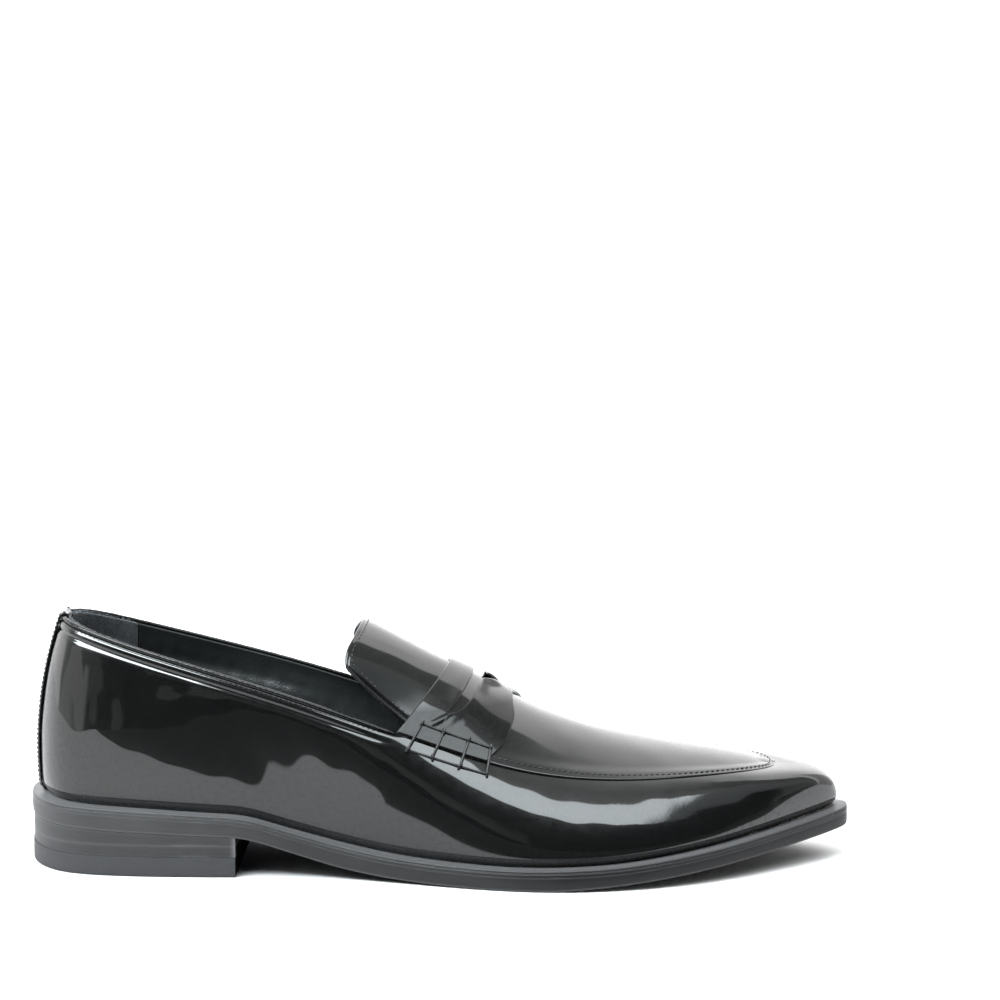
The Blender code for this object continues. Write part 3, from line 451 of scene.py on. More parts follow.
def shell(name, base, depth, thickness, finish, replaced, body=SHOE, edge=0.6, free=(1, 1, 1, 1),
          distance=None, keep=None, normal=None):
    """A sheet of leather: two skins from one grid of points, with rounded edges."""
    n, m = base.shape[:2]
    normal = normals(base) if normal is None else normal
    distance = edge_distance(base, free) if distance is None else distance
    r = min(edge, thickness / 2)
    s = np.clip(distance, 0, r)
    rounding = r - np.sqrt(np.maximum(r * r - (r - s) ** 2, 0))
    depth = np.broadcast_to(depth, (n, m))
    outer = base - normal * (depth + rounding)[..., None]
    inner = base - normal * (depth + thickness - rounding)[..., None]
    faces = quads(n, m)
    if keep is not None:
        faces = faces[keep.ravel()]
    count = n * m
    rim = {}
    for face in faces:
        for a, b in zip(face, np.roll(face, -1)):
            if (b, a) in rim:
                del rim[(b, a)]
            else:
                rim[(a, b)] = True
    every = [tuple(f) for f in faces] + [tuple(f[::-1] + count) for f in faces]
    every += [(b, a, a + count, b + count) for a, b in rim]
    uv = np.tile(grid_uv(lengths(base, 0).mean(axis=1), lengths(base, 1)), (2, 1))
    return make(name, np.concatenate([outer.reshape(-1, 3), inner.reshape(-1, 3)]), every, finish,
                replaced, body, uv=uv)


def tube_points(path, radius, sides, up, flat, closed):
    """Rings of points round a path; up is a direction at each point, which the section is turned to."""
    if closed:
        run = np.roll(path, -1, axis=0) - np.roll(path, 1, axis=0)
    else:
        run = np.gradient(path, axis=0)
    run = unit(run)
    across = unit(np.cross(run, up))
    lift = np.cross(across, run)
    angle = np.linspace(0, 2 * math.pi, sides, endpoint=False)[:, None]
    radius = np.broadcast_to(radius, len(path))[:, None, None]
    ring = across[:, None, :] * np.cos(angle) + lift[:, None, :] * np.sin(angle) * flat
    return path[:, None, :] + ring * radius


def tube_faces(count, sides, closed):
    """Faces of a tube of count rings, with flat ends unless it is closed."""
    faces = []
    for i in range(count if closed else count - 1):
        ring, following = i * sides, (i + 1) % count * sides
        for k in range(sides):
            n = (k + 1) % sides
            faces.append((ring + k, ring + n, following + n, following + k))
    if not closed:
        faces.append(tuple(reversed(range(sides))))
        faces.append(tuple(range((count - 1) * sides, count * sides)))
    return faces


class Bundle:
    """Many small tubes gathered into one piece."""

    def __init__(self):
        self.points = []
        self.faces = []
        self.count = 0

    def tube(self, path, radius, sides, up, flat=1.0, closed=False):
        rings = tube_points(path, radius, sides, up, flat, closed)
        for face in tube_faces(len(rings), sides, closed):
            self.faces.append([self.count + corner for corner in face])
        self.points.append(rings.reshape(-1, 3))
        self.count += len(rings) * sides

    def stitches(self, path, normal, pitch, length, radius):
        """A row of sewn stitches along a path that lies on the leather."""
        path, normal, at = resample(path, normal, pitch / 16)
        start = (at[-1] % pitch) / 2
        while start + length < at[-1]:
            where = np.linspace(start, start + length, STITCH_POINTS)
            up = columns_at(where, at, normal)
            bow = np.sin((where - start) / length * math.pi) ** 0.7
            middle = columns_at(where, at, path) + up * ((bow * 1.5 - 1.0) * radius)[:, None]
            self.tube(middle, radius * (0.75 + 0.25 * bow), 6, up)
            start += pitch

    def make(self, name, finish, replaced=(), body=SHOE):
        return make(name, np.concatenate(self.points), self.faces, finish, replaced, body, weld=0)


def columns_at(where, at, values):
    """Columns of values, known at places along a line, found at other places."""
    return np.stack([np.interp(where, at, column) for column in values.T], axis=1)


def resample(path, normal, step):
    """Points along a path every step, with the normals there and the distance travelled."""
    run = run_along(path)
    at = np.arange(0, run[-1], step)
    return columns_at(at, run, path), unit(columns_at(at, run, normal)), at


def stitches(name, path, normal, finish, pitch, length, radius):
    bundle = Bundle()
    bundle.stitches(path, normal, pitch, length, radius)
    bundle.make(name, finish)


WAVES = []
for _ in range(14):
    heading = unit(rng.normal(size=3))
    WAVES.append((heading / rng.uniform(11, 34), rng.uniform(0, 2 * math.pi)))


def ripple(points):
    """Slow unevenness of stretched leather, about -1 to 1."""
    total = np.zeros(points.shape[:-1])
    for heading, phase in WAVES:
        total += np.sin(points @ heading * 2 * math.pi + phase)
    return total / math.sqrt(len(WAVES) * 2)


# ---------------------------------------------------------------- materials

class Nodes:
    """Short calls for building a tree of nodes."""

    def __init__(self, tree):
        self.tree = tree

    def add(self, kind, inputs=None, **settings):
        node = self.tree.nodes.new(kind)
        for key, value in settings.items():
            setattr(node, key, value)
        for key, value in (inputs or {}).items():
            self.put(node.inputs[key], value)
        return node

    def put(self, socket, value):
        if isinstance(value, bpy.types.NodeSocket):
            self.tree.links.new(value, socket)
        else:
            socket.default_value = value

    def ramp(self, factor, stops):
        node = self.add("ShaderNodeValToRGB", {"Fac": factor})
        elements = node.color_ramp.elements
        while len(elements) < len(stops):
            elements.new(0.5)
        for element, (place, colour) in zip(elements, stops):
            element.position = place
            element.color = (*colour, 1)
        return node.outputs["Color"]

    def math(self, operation, *values):
        node = self.add("ShaderNodeMath", operation=operation)
        for socket, value in zip(node.inputs, (*values, 0, 0)):
            self.put(socket, value)
        return node.outputs[0]

    def blend(self, share, a, b):
        """Sum of two values, a with a weight of share and b with the rest."""
        return self.math("ADD", self.math("MULTIPLY", a, share), self.math("MULTIPLY", b, 1 - share))

    def span(self, value, low, high, to_low=0.0, to_high=1.0, **settings):
        node = self.add("ShaderNodeMapRange", {"Value": value, "From Min": low, "From Max": high,
                                               "To Min": to_low, "To Max": to_high}, **settings)
        return node.outputs[0]

    def mix(self, share, a, b, blend_type="MIX"):
        """Colour a with colour b mixed in, or multiplied in, by share."""
        node = self.add("ShaderNodeMix", data_type="RGBA", blend_type=blend_type)
        self.put(node.inputs[0], share)
        for place, colour in ((6, a), (7, b)):
            self.put(node.inputs[place], (*colour, 1) if isinstance(colour, tuple) else colour)
        return node.outputs[2]

    def axes(self, place):
        return self.add("ShaderNodeSeparateXYZ", {"Vector": place}).outputs


class Finish(Nodes):
    """The nodes of one material."""

    def __init__(self, name):
        self.material = bpy.data.materials.new(name)
        self.material.use_nodes = True
        super().__init__(self.material.node_tree)
        self.shader = self.tree.nodes["Principled BSDF"]
        self.object_place = self.add("ShaderNodeTexCoord").outputs["Object"]

    def set(self, **values):
        for key, value in values.items():
            self.put(self.shader.inputs[key.replace("_", " ")], value)

    def uv(self, scale):
        return self.scaled(self.add("ShaderNodeUVMap").outputs["UV"], scale)

    def scaled(self, place, scale):
        return self.add("ShaderNodeMapping", {"Vector": place, "Scale": scale}).outputs["Vector"]

    def noise(self, scale, detail=2.0, roughness=0.5, place=None, distortion=0.0):
        node = self.add("ShaderNodeTexNoise", {"Vector": place or self.object_place, "Scale": scale,
                                               "Detail": detail, "Roughness": roughness,
                                               "Distortion": distortion})
        return node.outputs["Fac"]

    def cells(self, scale, feature="DISTANCE_TO_EDGE"):
        node = self.add("ShaderNodeTexVoronoi", {"Vector": self.object_place, "Scale": scale},
                        feature=feature)
        return node.outputs["Distance"]

    def bump(self, height, distance, strength=1.0):
        node = self.add("ShaderNodeBump", {"Height": height, "Distance": distance, "Strength": strength})
        return node.outputs["Normal"]

    def geometry(self, output):
        return self.add("ShaderNodeNewGeometry").outputs[output]

    def breast(self, colour, shade):
        """Colour and specular level with painted shade: where a surface faces the toe, as the heel's breast
        under the arch does, its colour turns dark and its specular level drops.
        """
        facing = self.axes(self.geometry("Normal"))["X"]
        breast_shaded_colour = self.mix(self.span(facing, *BREAST_SHADE_FACING), colour, (shade,) * 3, "MULTIPLY")
        return breast_shaded_colour, self.span(facing, *BREAST_SHADE_FACING, 0.3, 0.0)


def times(colour, factor):
    return tuple(c * factor for c in colour)


BLACK = (0.002, 0.0022, 0.0022)
WORN_BLACK = (0.0035, 0.0038, 0.0038)
CHARCOAL = (0.036, 0.036, 0.0375)
WORN = (0.16, 0.16, 0.165)
PEEL = 0.0000022            # height in metres of the lacquer's fine unevenness
BREAST_SHADE_FACING = (0.2, 0.4)  # how far a normal leans forward where painted shade darkens the heel's breast


def patent(name, peel=1.0, toe_grain=0.0, dull_below=None, gloss=1.0):
    """Lacquered leather: a clear coat over black, with faint orange peel and slow swelling."""
    n = Finish(name)
    fine = n.noise(1250.0, 1.0)
    pores = n.noise(420.0)
    swell = n.noise(85.0, 1.0)
    height = n.math("ADD", n.math("MULTIPLY", fine, 0.05), n.math("MULTIPLY", pores, 0.18))
    height = n.math("ADD", height, n.math("MULTIPLY", swell, 5.0))
    if toe_grain:
        x = n.axes(n.object_place)["X"]
        share = n.math("MULTIPLY", n.span(x, 0.048, 0.1), n.span(x, 0.142, 0.118))
        grain = n.math("MULTIPLY", n.noise(880.0), n.math("MULTIPLY", share, toe_grain))
        height = n.math("ADD", height, grain)
    normal = n.bump(height, PEEL * peel)
    if dull_below:
        z = n.axes(n.object_place)["Z"]
        gloss = n.span(z, dull_below - 0.002, dull_below + 0.002, 0.35, 1.0)
    n.set(Base_Color=n.mix(n.noise(30.0, 3.0), BLACK, WORN_BLACK),
          Roughness=n.span(pores, 0.3, 0.7, 0.2, 0.32), Specular_IOR_Level=0.2,
          Coat_Weight=gloss, Coat_IOR=1.7, Coat_Roughness=n.span(pores, 0.3, 0.7, 0.015, 0.03),
          Coat_Normal=normal, Normal=normal)
    return n.material


def thread(name, colour, turns=900.0):
    """Waxed thread, with its twist and a few loose fibres."""
    n = Finish(name)
    twist = n.add("ShaderNodeTexWave", {"Vector": n.object_place, "Scale": turns, "Distortion": 1.5,
                                        "Detail": 1.0}, wave_type="BANDS", bands_direction="DIAGONAL")
    strands = n.math("ADD", twist.outputs["Fac"], n.noise(3000.0))
    n.set(Base_Color=n.ramp(n.noise(1400.0), [(0.3, times(colour, 0.45)), (0.7, colour)]), Roughness=0.42,
          Normal=n.bump(strands, 0.00006), Coat_Weight=0.35, Coat_Roughness=0.3)
    return n.material


def edge_finish(name, colour, roughness=0.36, front=1.0):
    """Inked and burnished sole edge: fine lines along it, darker towards the toe, and light worn corners."""
    n = Finish(name)
    streaks = n.noise(1.0, 4.0, 0.65, n.uv((0.6, 30.0, 1.0)))
    fine = n.noise(1.0, 2.0, 0.6, n.uv((6.0, 160.0, 1.0)))
    tone = n.blend(0.6, streaks, n.noise(60.0, 3.0))
    base = n.ramp(tone, [(0.32, times(colour, 0.72)), (0.5, colour), (0.7, times(colour, 1.35))])
    x = n.axes(n.object_place)["X"]
    base = n.mix(n.span(x, -0.09, 0.05, 0.0, 0.85), base, (0.02, 0.022, 0.026), "MULTIPLY")
    shine = 0.4
    # Below 1, front paints shade on faces turned towards the toe, the heel's breast under the arch.
    if front < 1.0:
        base, shine = n.breast(base, front)
    corners = n.span(n.geometry("Pointiness"), 0.5, 0.56)
    base = n.mix(n.math("MULTIPLY", corners, 0.7), base, WORN)
    n.set(Base_Color=base, Roughness=n.span(streaks, 0.3, 0.7, roughness - 0.05, roughness + 0.09),
          Specular_IOR_Level=shine, Normal=n.bump(n.math("ADD", streaks, fine), 0.00005))
    return n.material


def suede(name, colour, sheen=0.9):
    n = Finish(name)
    nap = n.noise(1900.0, 3.0, 0.7)
    tone = n.blend(0.5, nap, n.noise(130.0, 3.0))
    n.set(Base_Color=n.ramp(tone, [(0.35, colour), (0.65, times(colour, 1.9))]), Roughness=0.95,
          Specular_IOR_Level=0.15, Sheen_Weight=sheen, Sheen_Roughness=0.45,
          Sheen_Tint=(0.66, 0.69, 0.73, 1.0), Normal=n.bump(nap, 0.0003, 0.8))
    return n.material


def grained(name, colour, roughness=0.42, crease=0.5):
    """Lining leather: pebbled grain with fine creases."""
    n = Finish(name)
    small = n.noise(2400.0)
    wrinkle = n.noise(1.0, 3.0, 0.6, n.uv((9.0, 1.6, 1.0)), 1.2)
    height = n.math("ADD", n.math("MULTIPLY", n.cells(900.0), 0.9), n.math("MULTIPLY", small, 0.25))
    height = n.math("ADD", height, n.math("MULTIPLY", wrinkle, crease * 2))
    n.set(Base_Color=n.ramp(n.noise(45.0, 4.0), [(0.3, colour), (0.7, times(colour, 1.6))]),
          Roughness=n.span(small, 0.3, 0.7, roughness - 0.08, roughness + 0.08),
          Normal=n.bump(height, 0.00016))
    return n.material


def rubber(name, colour):
    n = Finish(name)
    speck = n.noise(2200.0, 3.0)
    scuff = n.noise(1.0, 4.0, 0.7, n.uv((1.2, 24.0, 1.0)))
    base = n.ramp(n.blend(0.4, speck, scuff), [(0.3, colour), (0.7, times(colour, 1.5))])
    # Painted shade: the breast, which faces the toe, is darkened and loses its specular level.
    base, shine = n.breast(base, 0.12)
    n.set(Base_Color=base, Specular_IOR_Level=shine, Roughness=n.span(scuff, 0.3, 0.7, 0.42, 0.6),
          Normal=n.bump(n.math("ADD", speck, scuff), 0.00006))
    return n.material


def fibrous(name, colour, scale=700.0, roughness=0.85, depth=0.0002):
    """Board, cork, foam and pressed fibre, hidden inside the shoe."""
    n = Finish(name)
    speck = n.cells(scale, "F1")
    tone = n.blend(0.5, speck, n.noise(scale * 0.3, 4.0))
    n.set(Base_Color=n.ramp(tone, [(0.25, times(colour, 0.6)), (0.6, colour)]), Roughness=roughness,
          Normal=n.bump(speck, depth))
    return n.material


def steel(name):
    n = Finish(name)
    brushed = n.noise(1.0, 3.0, 0.6, n.scaled(n.object_place, (60.0, 2400.0, 2400.0)))
    n.set(Base_Color=n.ramp(brushed, [(0.3, (0.32, 0.32, 0.33)), (0.7, (0.5, 0.5, 0.51))]), Metallic=1.0,
          Roughness=n.span(brushed, 0.3, 0.7, 0.3, 0.5), Normal=n.bump(brushed, 0.00002))
    return n.material


# Each finish is a material and the name of a slot, which the script doesn't use; None only repaints CAD nodes
finishes = {
    "patent": (patent("patent_wall", 1.0, 9.0), "patent_leather"),
    "apron": (patent("patent_apron", 0.55), "apron_leather"),
    "strap": (patent("patent_strap", 0.7, dull_below=0.0625), "strap_leather"),
    "tongue": (patent("patent_tongue", 0.7), "tongue_leather"),
    "backstay": (patent("patent_backstay", 1.2), "backstay_leather"),
    "binding": (patent("patent_binding", 0.6, gloss=0.45), "binding_leather"),
    "seam_thread": (thread("seam_thread", (0.022, 0.022, 0.024)), "waxed_thread"),
    "fine_thread": (thread("fine_thread", (0.012, 0.012, 0.013)), "waxed_thread"),
    "cord": (thread("ladder_cord", (0.014, 0.014, 0.015), 500.0), "waxed_thread"),
    "suede": (suede("heel_suede", (0.07, 0.075, 0.082)), "suede"),
    "nap": (suede("suede_nap", (0.16, 0.17, 0.18)), "suede"),
    "tongue_back": (suede("tongue_suede", (0.012, 0.0125, 0.014), 0.4), "suede"),
    "lining": (grained("lining_leather_grain", (0.013, 0.015, 0.0155), 0.36), "lining_leather"),
    "sock": (grained("sock_leather_grain", (0.007, 0.007, 0.0075), 0.5, 0.15), "sock_leather"),
    "sole": (edge_finish("sole_edge_ink", CHARCOAL), "sole_leather"),
    "welt": (edge_finish("welt_ink", times(CHARCOAL, 1.1), 0.33), "edge_leather"),
    # The lift and the rubber get painted shade on their breast, where it faces the toe.
    "lift": (edge_finish("lift_ink", times(CHARCOAL, 1.02), 0.34, 0.12), "lift_leather"),
    "heel_rubber": (rubber("heel_rubber_black", (0.036, 0.036, 0.038)), "heel_rubber"),
    "stiffener": (fibrous("pressed_fibre", (0.62, 0.58, 0.5), 1200.0), "stiffener"),
    "board": (fibrous("insole_board_fibre", (0.42, 0.31, 0.2)), None),
    "cork": (fibrous("cork_grain", (0.4, 0.25, 0.13), 420.0, 0.95, 0.0005), None),
    "foam": (fibrous("foam_cells", (0.09, 0.09, 0.1), 1500.0, 0.95, 0.0002), None),
    "steel": (steel("brushed_steel"), None),
}

# ---------------------------------------------------------------- upper

LADDER_TOPS = (6.38, 6.70, 7.07, 7.40)          # rows of the bars' ends
LADDER_BOTTOMS = (6.32, 6.66, 7.04, 7.40)
LADDER_HIGH = 4.5
LADDER_LOW = 5.4
CORD = 0.52
APRON_OVERLAP = 0.8
APRON_RAISE = 0.55
APRON_STITCH = 1.7          # distance of its stitches from its edge
SEAM_LEAN = 0.9             # rows by which the inner seam leans back from its top to the sole
BACKSTAY_PROUD = 1.05       # how far it stands out from the upper
BACKSTAY_INSIDE = 13.0      # how far it reaches down inside
SEAM_OVERLAP = 0.22         # rows of the inner quarter that lie under the wall
UNEVEN = 0.09               # mm of slow unevenness in the stretched leather


def leaning(row, rise):
    """Rows of the wall and the inner quarter, leaning back near the seam that joins them."""
    near_seam = smooth_step(row, 17.5, MEDIAL_SEAM_ROW) * (1 - smooth_step(row, MEDIAL_SEAM_ROW, 26.5))
    return row + SEAM_LEAN * near_seam * (1 - rise) ** 1.2


def side_grid(rows, shares, drop=0.0, low_rise=0.0):
    """Grid on the side of the upper: shares run from 0 at the sole to 1 at the piece's own top."""
    top_rise = rise_below_edge(rows, drop)
    rise = low_rise + (top_rise[:, None] - low_rise) * shares[None, :]
    row = leaning(np.broadcast_to(rows[:, None], rise.shape), rise)
    return side_surface(row, rise)


def collar(drop, opening):
    """Depth of the collar's relief at a distance below the rolled edge: the seam, then a fold."""
    seam = 0.2 * np.exp(-((drop - 0.5) / 0.5) ** 2)
    fold = 0.5 * np.exp(-((drop - 3.2) / np.where(drop < 3.2, 0.6, 1.2)) ** 2)
    return (seam + fold) * opening


def wall_drop(rows):
    """The upper stops below the rolled edge round the opening, and reaches its own edge at the seam."""
    return 1.9 - 1.8 * smooth_step(rows_from_heel(rows), 6.1, 6.35)


def uneven(base, amount=UNEVEN, fade=6.0, free=(0, 0, 1, 1)):
    """Move a grid slightly in and out, except close to its free edges."""
    share = smooth_step(edge_distance(base, free), 0.5, fade)
    return base + normals(base) * (ripple(base) * amount * share)[..., None]


def wall_and_quarter():
    """The outer wall with the toe, and the inner quarter, which the wall overlaps at the seam."""
    near_top = 1 - np.linspace(0.0, 8.0, 41)[1:] / 80.0
    shares = lines(0.0, 1.0, 56, 0.012, 0.005, marks=near_top)
    rows = lines(0.0, MEDIAL_SEAM_ROW, 330, 0.0, 0.02)
    base = uneven(side_grid(rows, shares, wall_drop(rows)))
    over_quarter = smooth_step(rows, MEDIAL_SEAM_ROW - SEAM_OVERLAP, MEDIAL_SEAM_ROW - 0.02)
    depth = collar_relief(base, rows) - 0.8 * over_quarter[:, None]
    shell("wall_panel_leather", base, depth, UPPER, "patent", ["wall_panel"], free=(0, 1, 0, 1))
    rows = lines(MEDIAL_SEAM_ROW - SEAM_OVERLAP, ROWS, 120, 0.02, 0.0)
    base = uneven(side_grid(rows, shares, wall_drop(rows)))
    under = 0.75 * (1 - smooth_step(rows, MEDIAL_SEAM_ROW - 0.12, MEDIAL_SEAM_ROW + 0.14))
    depth = collar_relief(base, rows) + under[:, None]
    shell("medial_quarter_leather", base, depth, UPPER, "patent", ["medial_quarter"], free=(1, 0, 0, 1))


def collar_relief(base, rows):
    """Relief of the collar over a grid of the side; it fades out where the opening ends."""
    run = lengths(base, 1)
    opening = 1 - smooth_step(rows_from_heel(rows), BINDING_END_ROW - 0.35, BINDING_END_ROW)
    return collar(run[:, -1:] - run, opening[:, None])


def side_path(rows, drop, depth):
    """Points and normals of a line on the side, at a distance below its top edge."""
    points, normal = side_line(rows, rise_below_edge(rows, drop))
    return points - normal * depth, normal


def seam_line(offset, depth):
    """The inner seam's line from the sole to its top, moved along the shoe by offset rows."""
    rises = np.linspace(0.1, 0.985, 160)
    rows = leaning(MEDIAL_SEAM_ROW + offset, rises)[None, :] + NEAR[:, None]
    grid = side_surface(rows, rises[None, :])
    normal = normals(grid)[1]
    return grid[1] - normal * depth, normal


def opening_edge():
    """Rolled binding round the opening, drawn in slightly between its stitches."""
    rows = np.linspace(-BINDING_END_ROW, BINDING_END_ROW, 620)
    centre, normal = side_path(rows, BEAD, BEAD)
    run = run_along(centre)
    pucker = 0.025 * np.sin(run * 2 * math.pi / 2.3) + 0.02 * np.sin(run * 0.9)
    ends = smooth_step(rows, -BINDING_END_ROW, -BINDING_END_ROW + 0.12)
    ends *= 1 - smooth_step(rows, BINDING_END_ROW - 0.12, BINDING_END_ROW)
    bundle = Bundle()
    bundle.tube(centre, (BEAD + pucker) * (0.45 + 0.55 * ends), 18, normal)
    bundle.make("topline_binding_roll", "binding", ["topline_binding"])
    for side_name, first, last in (("lateral", 0.72, 6.05), ("medial", -6.05, -0.72)):
        path, up = side_path(np.linspace(first, last, 300), 2.4, 0.32)
        stitches(f"topline_stitches_{side_name}", path, up, "fine_thread",
                 pitch=1.9, length=1.45, radius=0.17)


def backstay_grid(rows, profile):
    """Strip up the back of the heel, over the rolled edge and down inside; profile runs 0 to 3."""
    radius = BEAD + BACKSTAY_PROUD
    fold_rise = rise_below_edge(rows, 1.0)
    bead = side_surface(rows[:, None], fold_rise[:, None] + NEAR)
    out = normals(bead)[:, 1]
    up = unit(bead[:, 2] - bead[:, 0])
    centre = bead[:, 1] - out * BEAD
    lines_up = []
    for value in profile:
        if value <= 1:
            points, normal = side_line(rows, fold_rise * (0.015 + 0.985 * value), CLOSE)
            lines_up.append(points + normal * BACKSTAY_PROUD)
        elif value <= 2:
            turn = (value - 1) * math.pi
            lines_up.append(centre + (out * math.cos(turn) + up * math.sin(turn)) * radius)
        else:
            rise = rise_below_edge(rows, 1.0 + (value - 2) * BACKSTAY_INSIDE)
            points, normal = side_line(rows, rise, CLOSE)
            lines_up.append(points - normal * (BEAD + radius + 0.9 * smooth_step(value, 2.0, 2.3)))
    return np.stack(lines_up, axis=1)


def backstay():
    rows = lines(-BACKSTAY_HALF, BACKSTAY_HALF, 30, 0.02)
    profile = np.concatenate([lines(0, 1, 60, 0.004, 0.0), np.linspace(1, 2, 15)[1:],
                              lines(2, 3, 14, 0.0, 0.03)[1:]])
    shell("backstay_strip", backstay_grid(rows, profile), 0.0, 0.9, "backstay", ["backstay"], edge=0.4)
    bundle = Bundle()
    for edge_row in (-BACKSTAY_HALF + 0.085, BACKSTAY_HALF - 0.085):
        grid = backstay_grid(edge_row + CLOSE, np.linspace(0.02, 2.9, 260))
        bundle.stitches(grid[1], normals(grid)[1], pitch=1.75, length=1.3, radius=0.24)
    bundle.make("backstay_stitches", "seam_thread")


def seam_run(rows):
    """Direction in plan of the upper's top edge."""
    return unit(around(TOP_PLAN, rows + 0.02) - around(TOP_PLAN, rows - 0.02))


def crown_surface(row, across, overlap):
    """The apron's surface with its edge moved outwards over the seam by overlap."""
    row, across = np.broadcast_arrays(np.asarray(row, float), np.asarray(across, float))
    ridge_t = RIDGE_AT_ROW(row) + overlap * smooth_step(row, 13.0, 14.0)
    ridge = np.stack([ridge_t, RIDGE_Y(ridge_t), RIDGE(RIDGE_AT_ROW(row))], axis=-1)
    edges = []
    for beside in (row, ROWS - row):
        run = seam_run(beside)
        out = np.stack([run[..., 1], -run[..., 0], np.full(row.shape, -0.55)], axis=-1)
        edges.append(around(TOP_EDGE, beside) + out * overlap)
    return arch(ridge, np.where((across < 0)[..., None], *edges), across)


def apron():
    """The plug over the forefoot, raised inside its seam, and the stitches round it."""
    rows = lines(APRON_REAR_ROW, 13.96, 190, 0.02, 0.03)
    columns = lines(-1.0, 1.0, 64, 0.016)
    base = crown_surface(rows[:, None], columns[None, :], APRON_OVERLAP)
    base = uneven(base, 0.07, 9.0, (0, 1, 1, 1))
    to_seam = edge_distance(base, (0, 1, 1, 1))
    plug = APRON_RAISE * (1 - smooth_step(to_seam, 2.2, 7.5))
    groove = 0.22 * np.exp(-((to_seam - APRON_STITCH) / 0.45) ** 2)
    shell("apron_plug", base, groove - plug, UPPER, "apron", ["apron"])
    front = float(STRAP_FRONT(1.0)) + 0.12
    outer = np.linspace(front, 13.97, 500)
    rows = np.concatenate([outer, (ROWS - outer)[::-1]])
    run = seam_run(rows)
    out = np.stack([run[:, 1], -run[:, 0]], axis=-1)
    plan = around(TOP_PLAN, rows) + out * (APRON_OVERLAP - APRON_STITCH)
    path, up = dropped(base + normals(base) * (plug - groove)[..., None], plan)
    stitches("apron_seam_stitches", path - up * 0.05, up, "seam_thread", pitch=2.15, length=1.55, radius=0.25)


def dropped(grid, plan):
    """Where points in plan land on a grid's surface from above, with the surface's normals there."""
    n, m = grid.shape[:2]
    tree = BVHTree.FromPolygons([Vector(p) for p in grid.reshape(-1, 3)], [tuple(f) for f in quads(n, m)])
    points = []
    ups = []
    for t, y in plan:
        place, up, _, _ = tree.ray_cast(Vector((t, y, 300.0)), Vector((0.0, 0.0, -1.0)))
        if place is not None:
            points.append(place)
            ups.append(up if up.z > 0 else -up)
    return np.array(points), unit(fair(np.array(ups), 3.0))


def slot_edges(across):
    """Ridge places of the slot's rear and front edges at a place across the strap."""
    part = np.minimum(np.abs(across) / SLOT_HALF_WIDTH, 1.0)
    middle = SLOT_REAR - SLOT_SWEEP * part ** 2
    opening = SLOT_OPENING * np.sqrt(1 - part ** SLOT_SQUARENESS)
    notch = NOTCH_DEPTH * np.clip(1 - (np.abs(across) / NOTCH_HALF_WIDTH), 0, 1) ** 0.8
    return middle, middle + opening + notch


def strap_grid(columns, shares):
    """Rows and places across of two bands of lines over the strap, behind and in front of the slot."""
    rear, front = slot_edges(columns)
    bands = []
    for start, end in ((STRAP_REAR(np.abs(columns)), row_of_ridge(rear)),
                       (row_of_ridge(front), STRAP_FRONT(np.abs(columns)))):
        bands.append(start[:, None] + (end - start)[:, None] * shares[None, :])
    rows = np.concatenate(bands, axis=1)
    return rows, np.broadcast_to(columns[:, None] * STRAP_WIDEN, rows.shape)


def saddle_strap():
    """Strap over the instep with its slot, whose lips curl up, and creases at the slot's ends."""
    near_tip = SLOT_HALF_WIDTH * (1 - np.linspace(0, 0.35, 9) ** 2 * 0.6)
    notch = NOTCH_HALF_WIDTH * np.array([0.25, 0.5, 0.75, 0.9, 1.0, 1.1])
    beyond = SLOT_HALF_WIDTH + np.array([0.004, 0.012, 0.025])
    marks = np.concatenate([near_tip, notch, beyond])
    columns = lines(-1.0, 1.0, 90, 0.016, marks=np.concatenate([marks, -marks]))
    columns = np.unique(np.round(columns, 4))
    shares = lines(0.0, 1.0, 22, 0.035)
    rows, across = strap_grid(columns, shares)
    flat = top_surface(rows, across)
    dense = np.linspace(-SLOT_HALF_WIDTH, SLOT_HALF_WIDTH, 500)
    rim = np.concatenate([top_surface(row_of_ridge(edge), dense * STRAP_WIDEN) for edge in slot_edges(dense)])
    to_slot = nearest_distance(flat, rim)
    rear_run = np.linalg.norm(flat - flat[:, :1], axis=-1)
    front_run = np.linalg.norm(flat - flat[:, -1:], axis=-1)
    distance = np.min([rear_run, front_run, edge_distance(flat, (1, 1, 0, 0)), to_slot], axis=0)
    curl = 0.35 * np.exp(-(to_slot / 2.5) ** 2)
    notch_curl = 0.9 * np.exp(-((np.abs(across) - 0.1) / 0.11) ** 2) * np.exp(-(to_slot / 3.0) ** 2)
    ahead = np.repeat([0.0, 1.0], len(shares))
    height = strap_height(across) + curl * 0.6 + notch_curl * ahead + strap_creases(rows, across)
    height = height + ripple(flat) * 0.08 * smooth_step(distance, 0.5, 5)
    n, m = rows.shape
    keep = np.ones((n - 1, m - 1), bool)
    keep[:, len(shares) - 1] = False
    shell("saddle_strap_leather", flat, -height, UPPER, "strap", ["saddle_strap"], edge=0.5,
          distance=distance, keep=keep, normal=strap_normals(rows, across))


def strap_normals(rows, across):
    """Normals of the smooth surface under the strap, which the slot doesn't disturb."""
    along = top_surface(rows + 0.03, across) - top_surface(rows - 0.03, across)
    side_way = top_surface(rows, across + 0.01) - top_surface(rows, across - 0.01)
    return unit(np.cross(along, side_way))


def nearest_distance(grid, line):
    """Distance from each point of a grid to the nearest point of a line."""
    flat = grid.reshape(-1, 3)
    best = np.full(len(flat), 1e9)
    for start in range(0, len(line), 100):
        part = line[start:start + 100]
        gap = np.linalg.norm(flat[:, None, :] - part[None, :, :], axis=-1)
        best = np.minimum(best, gap.min(axis=1))
    return best.reshape(grid.shape[:2])


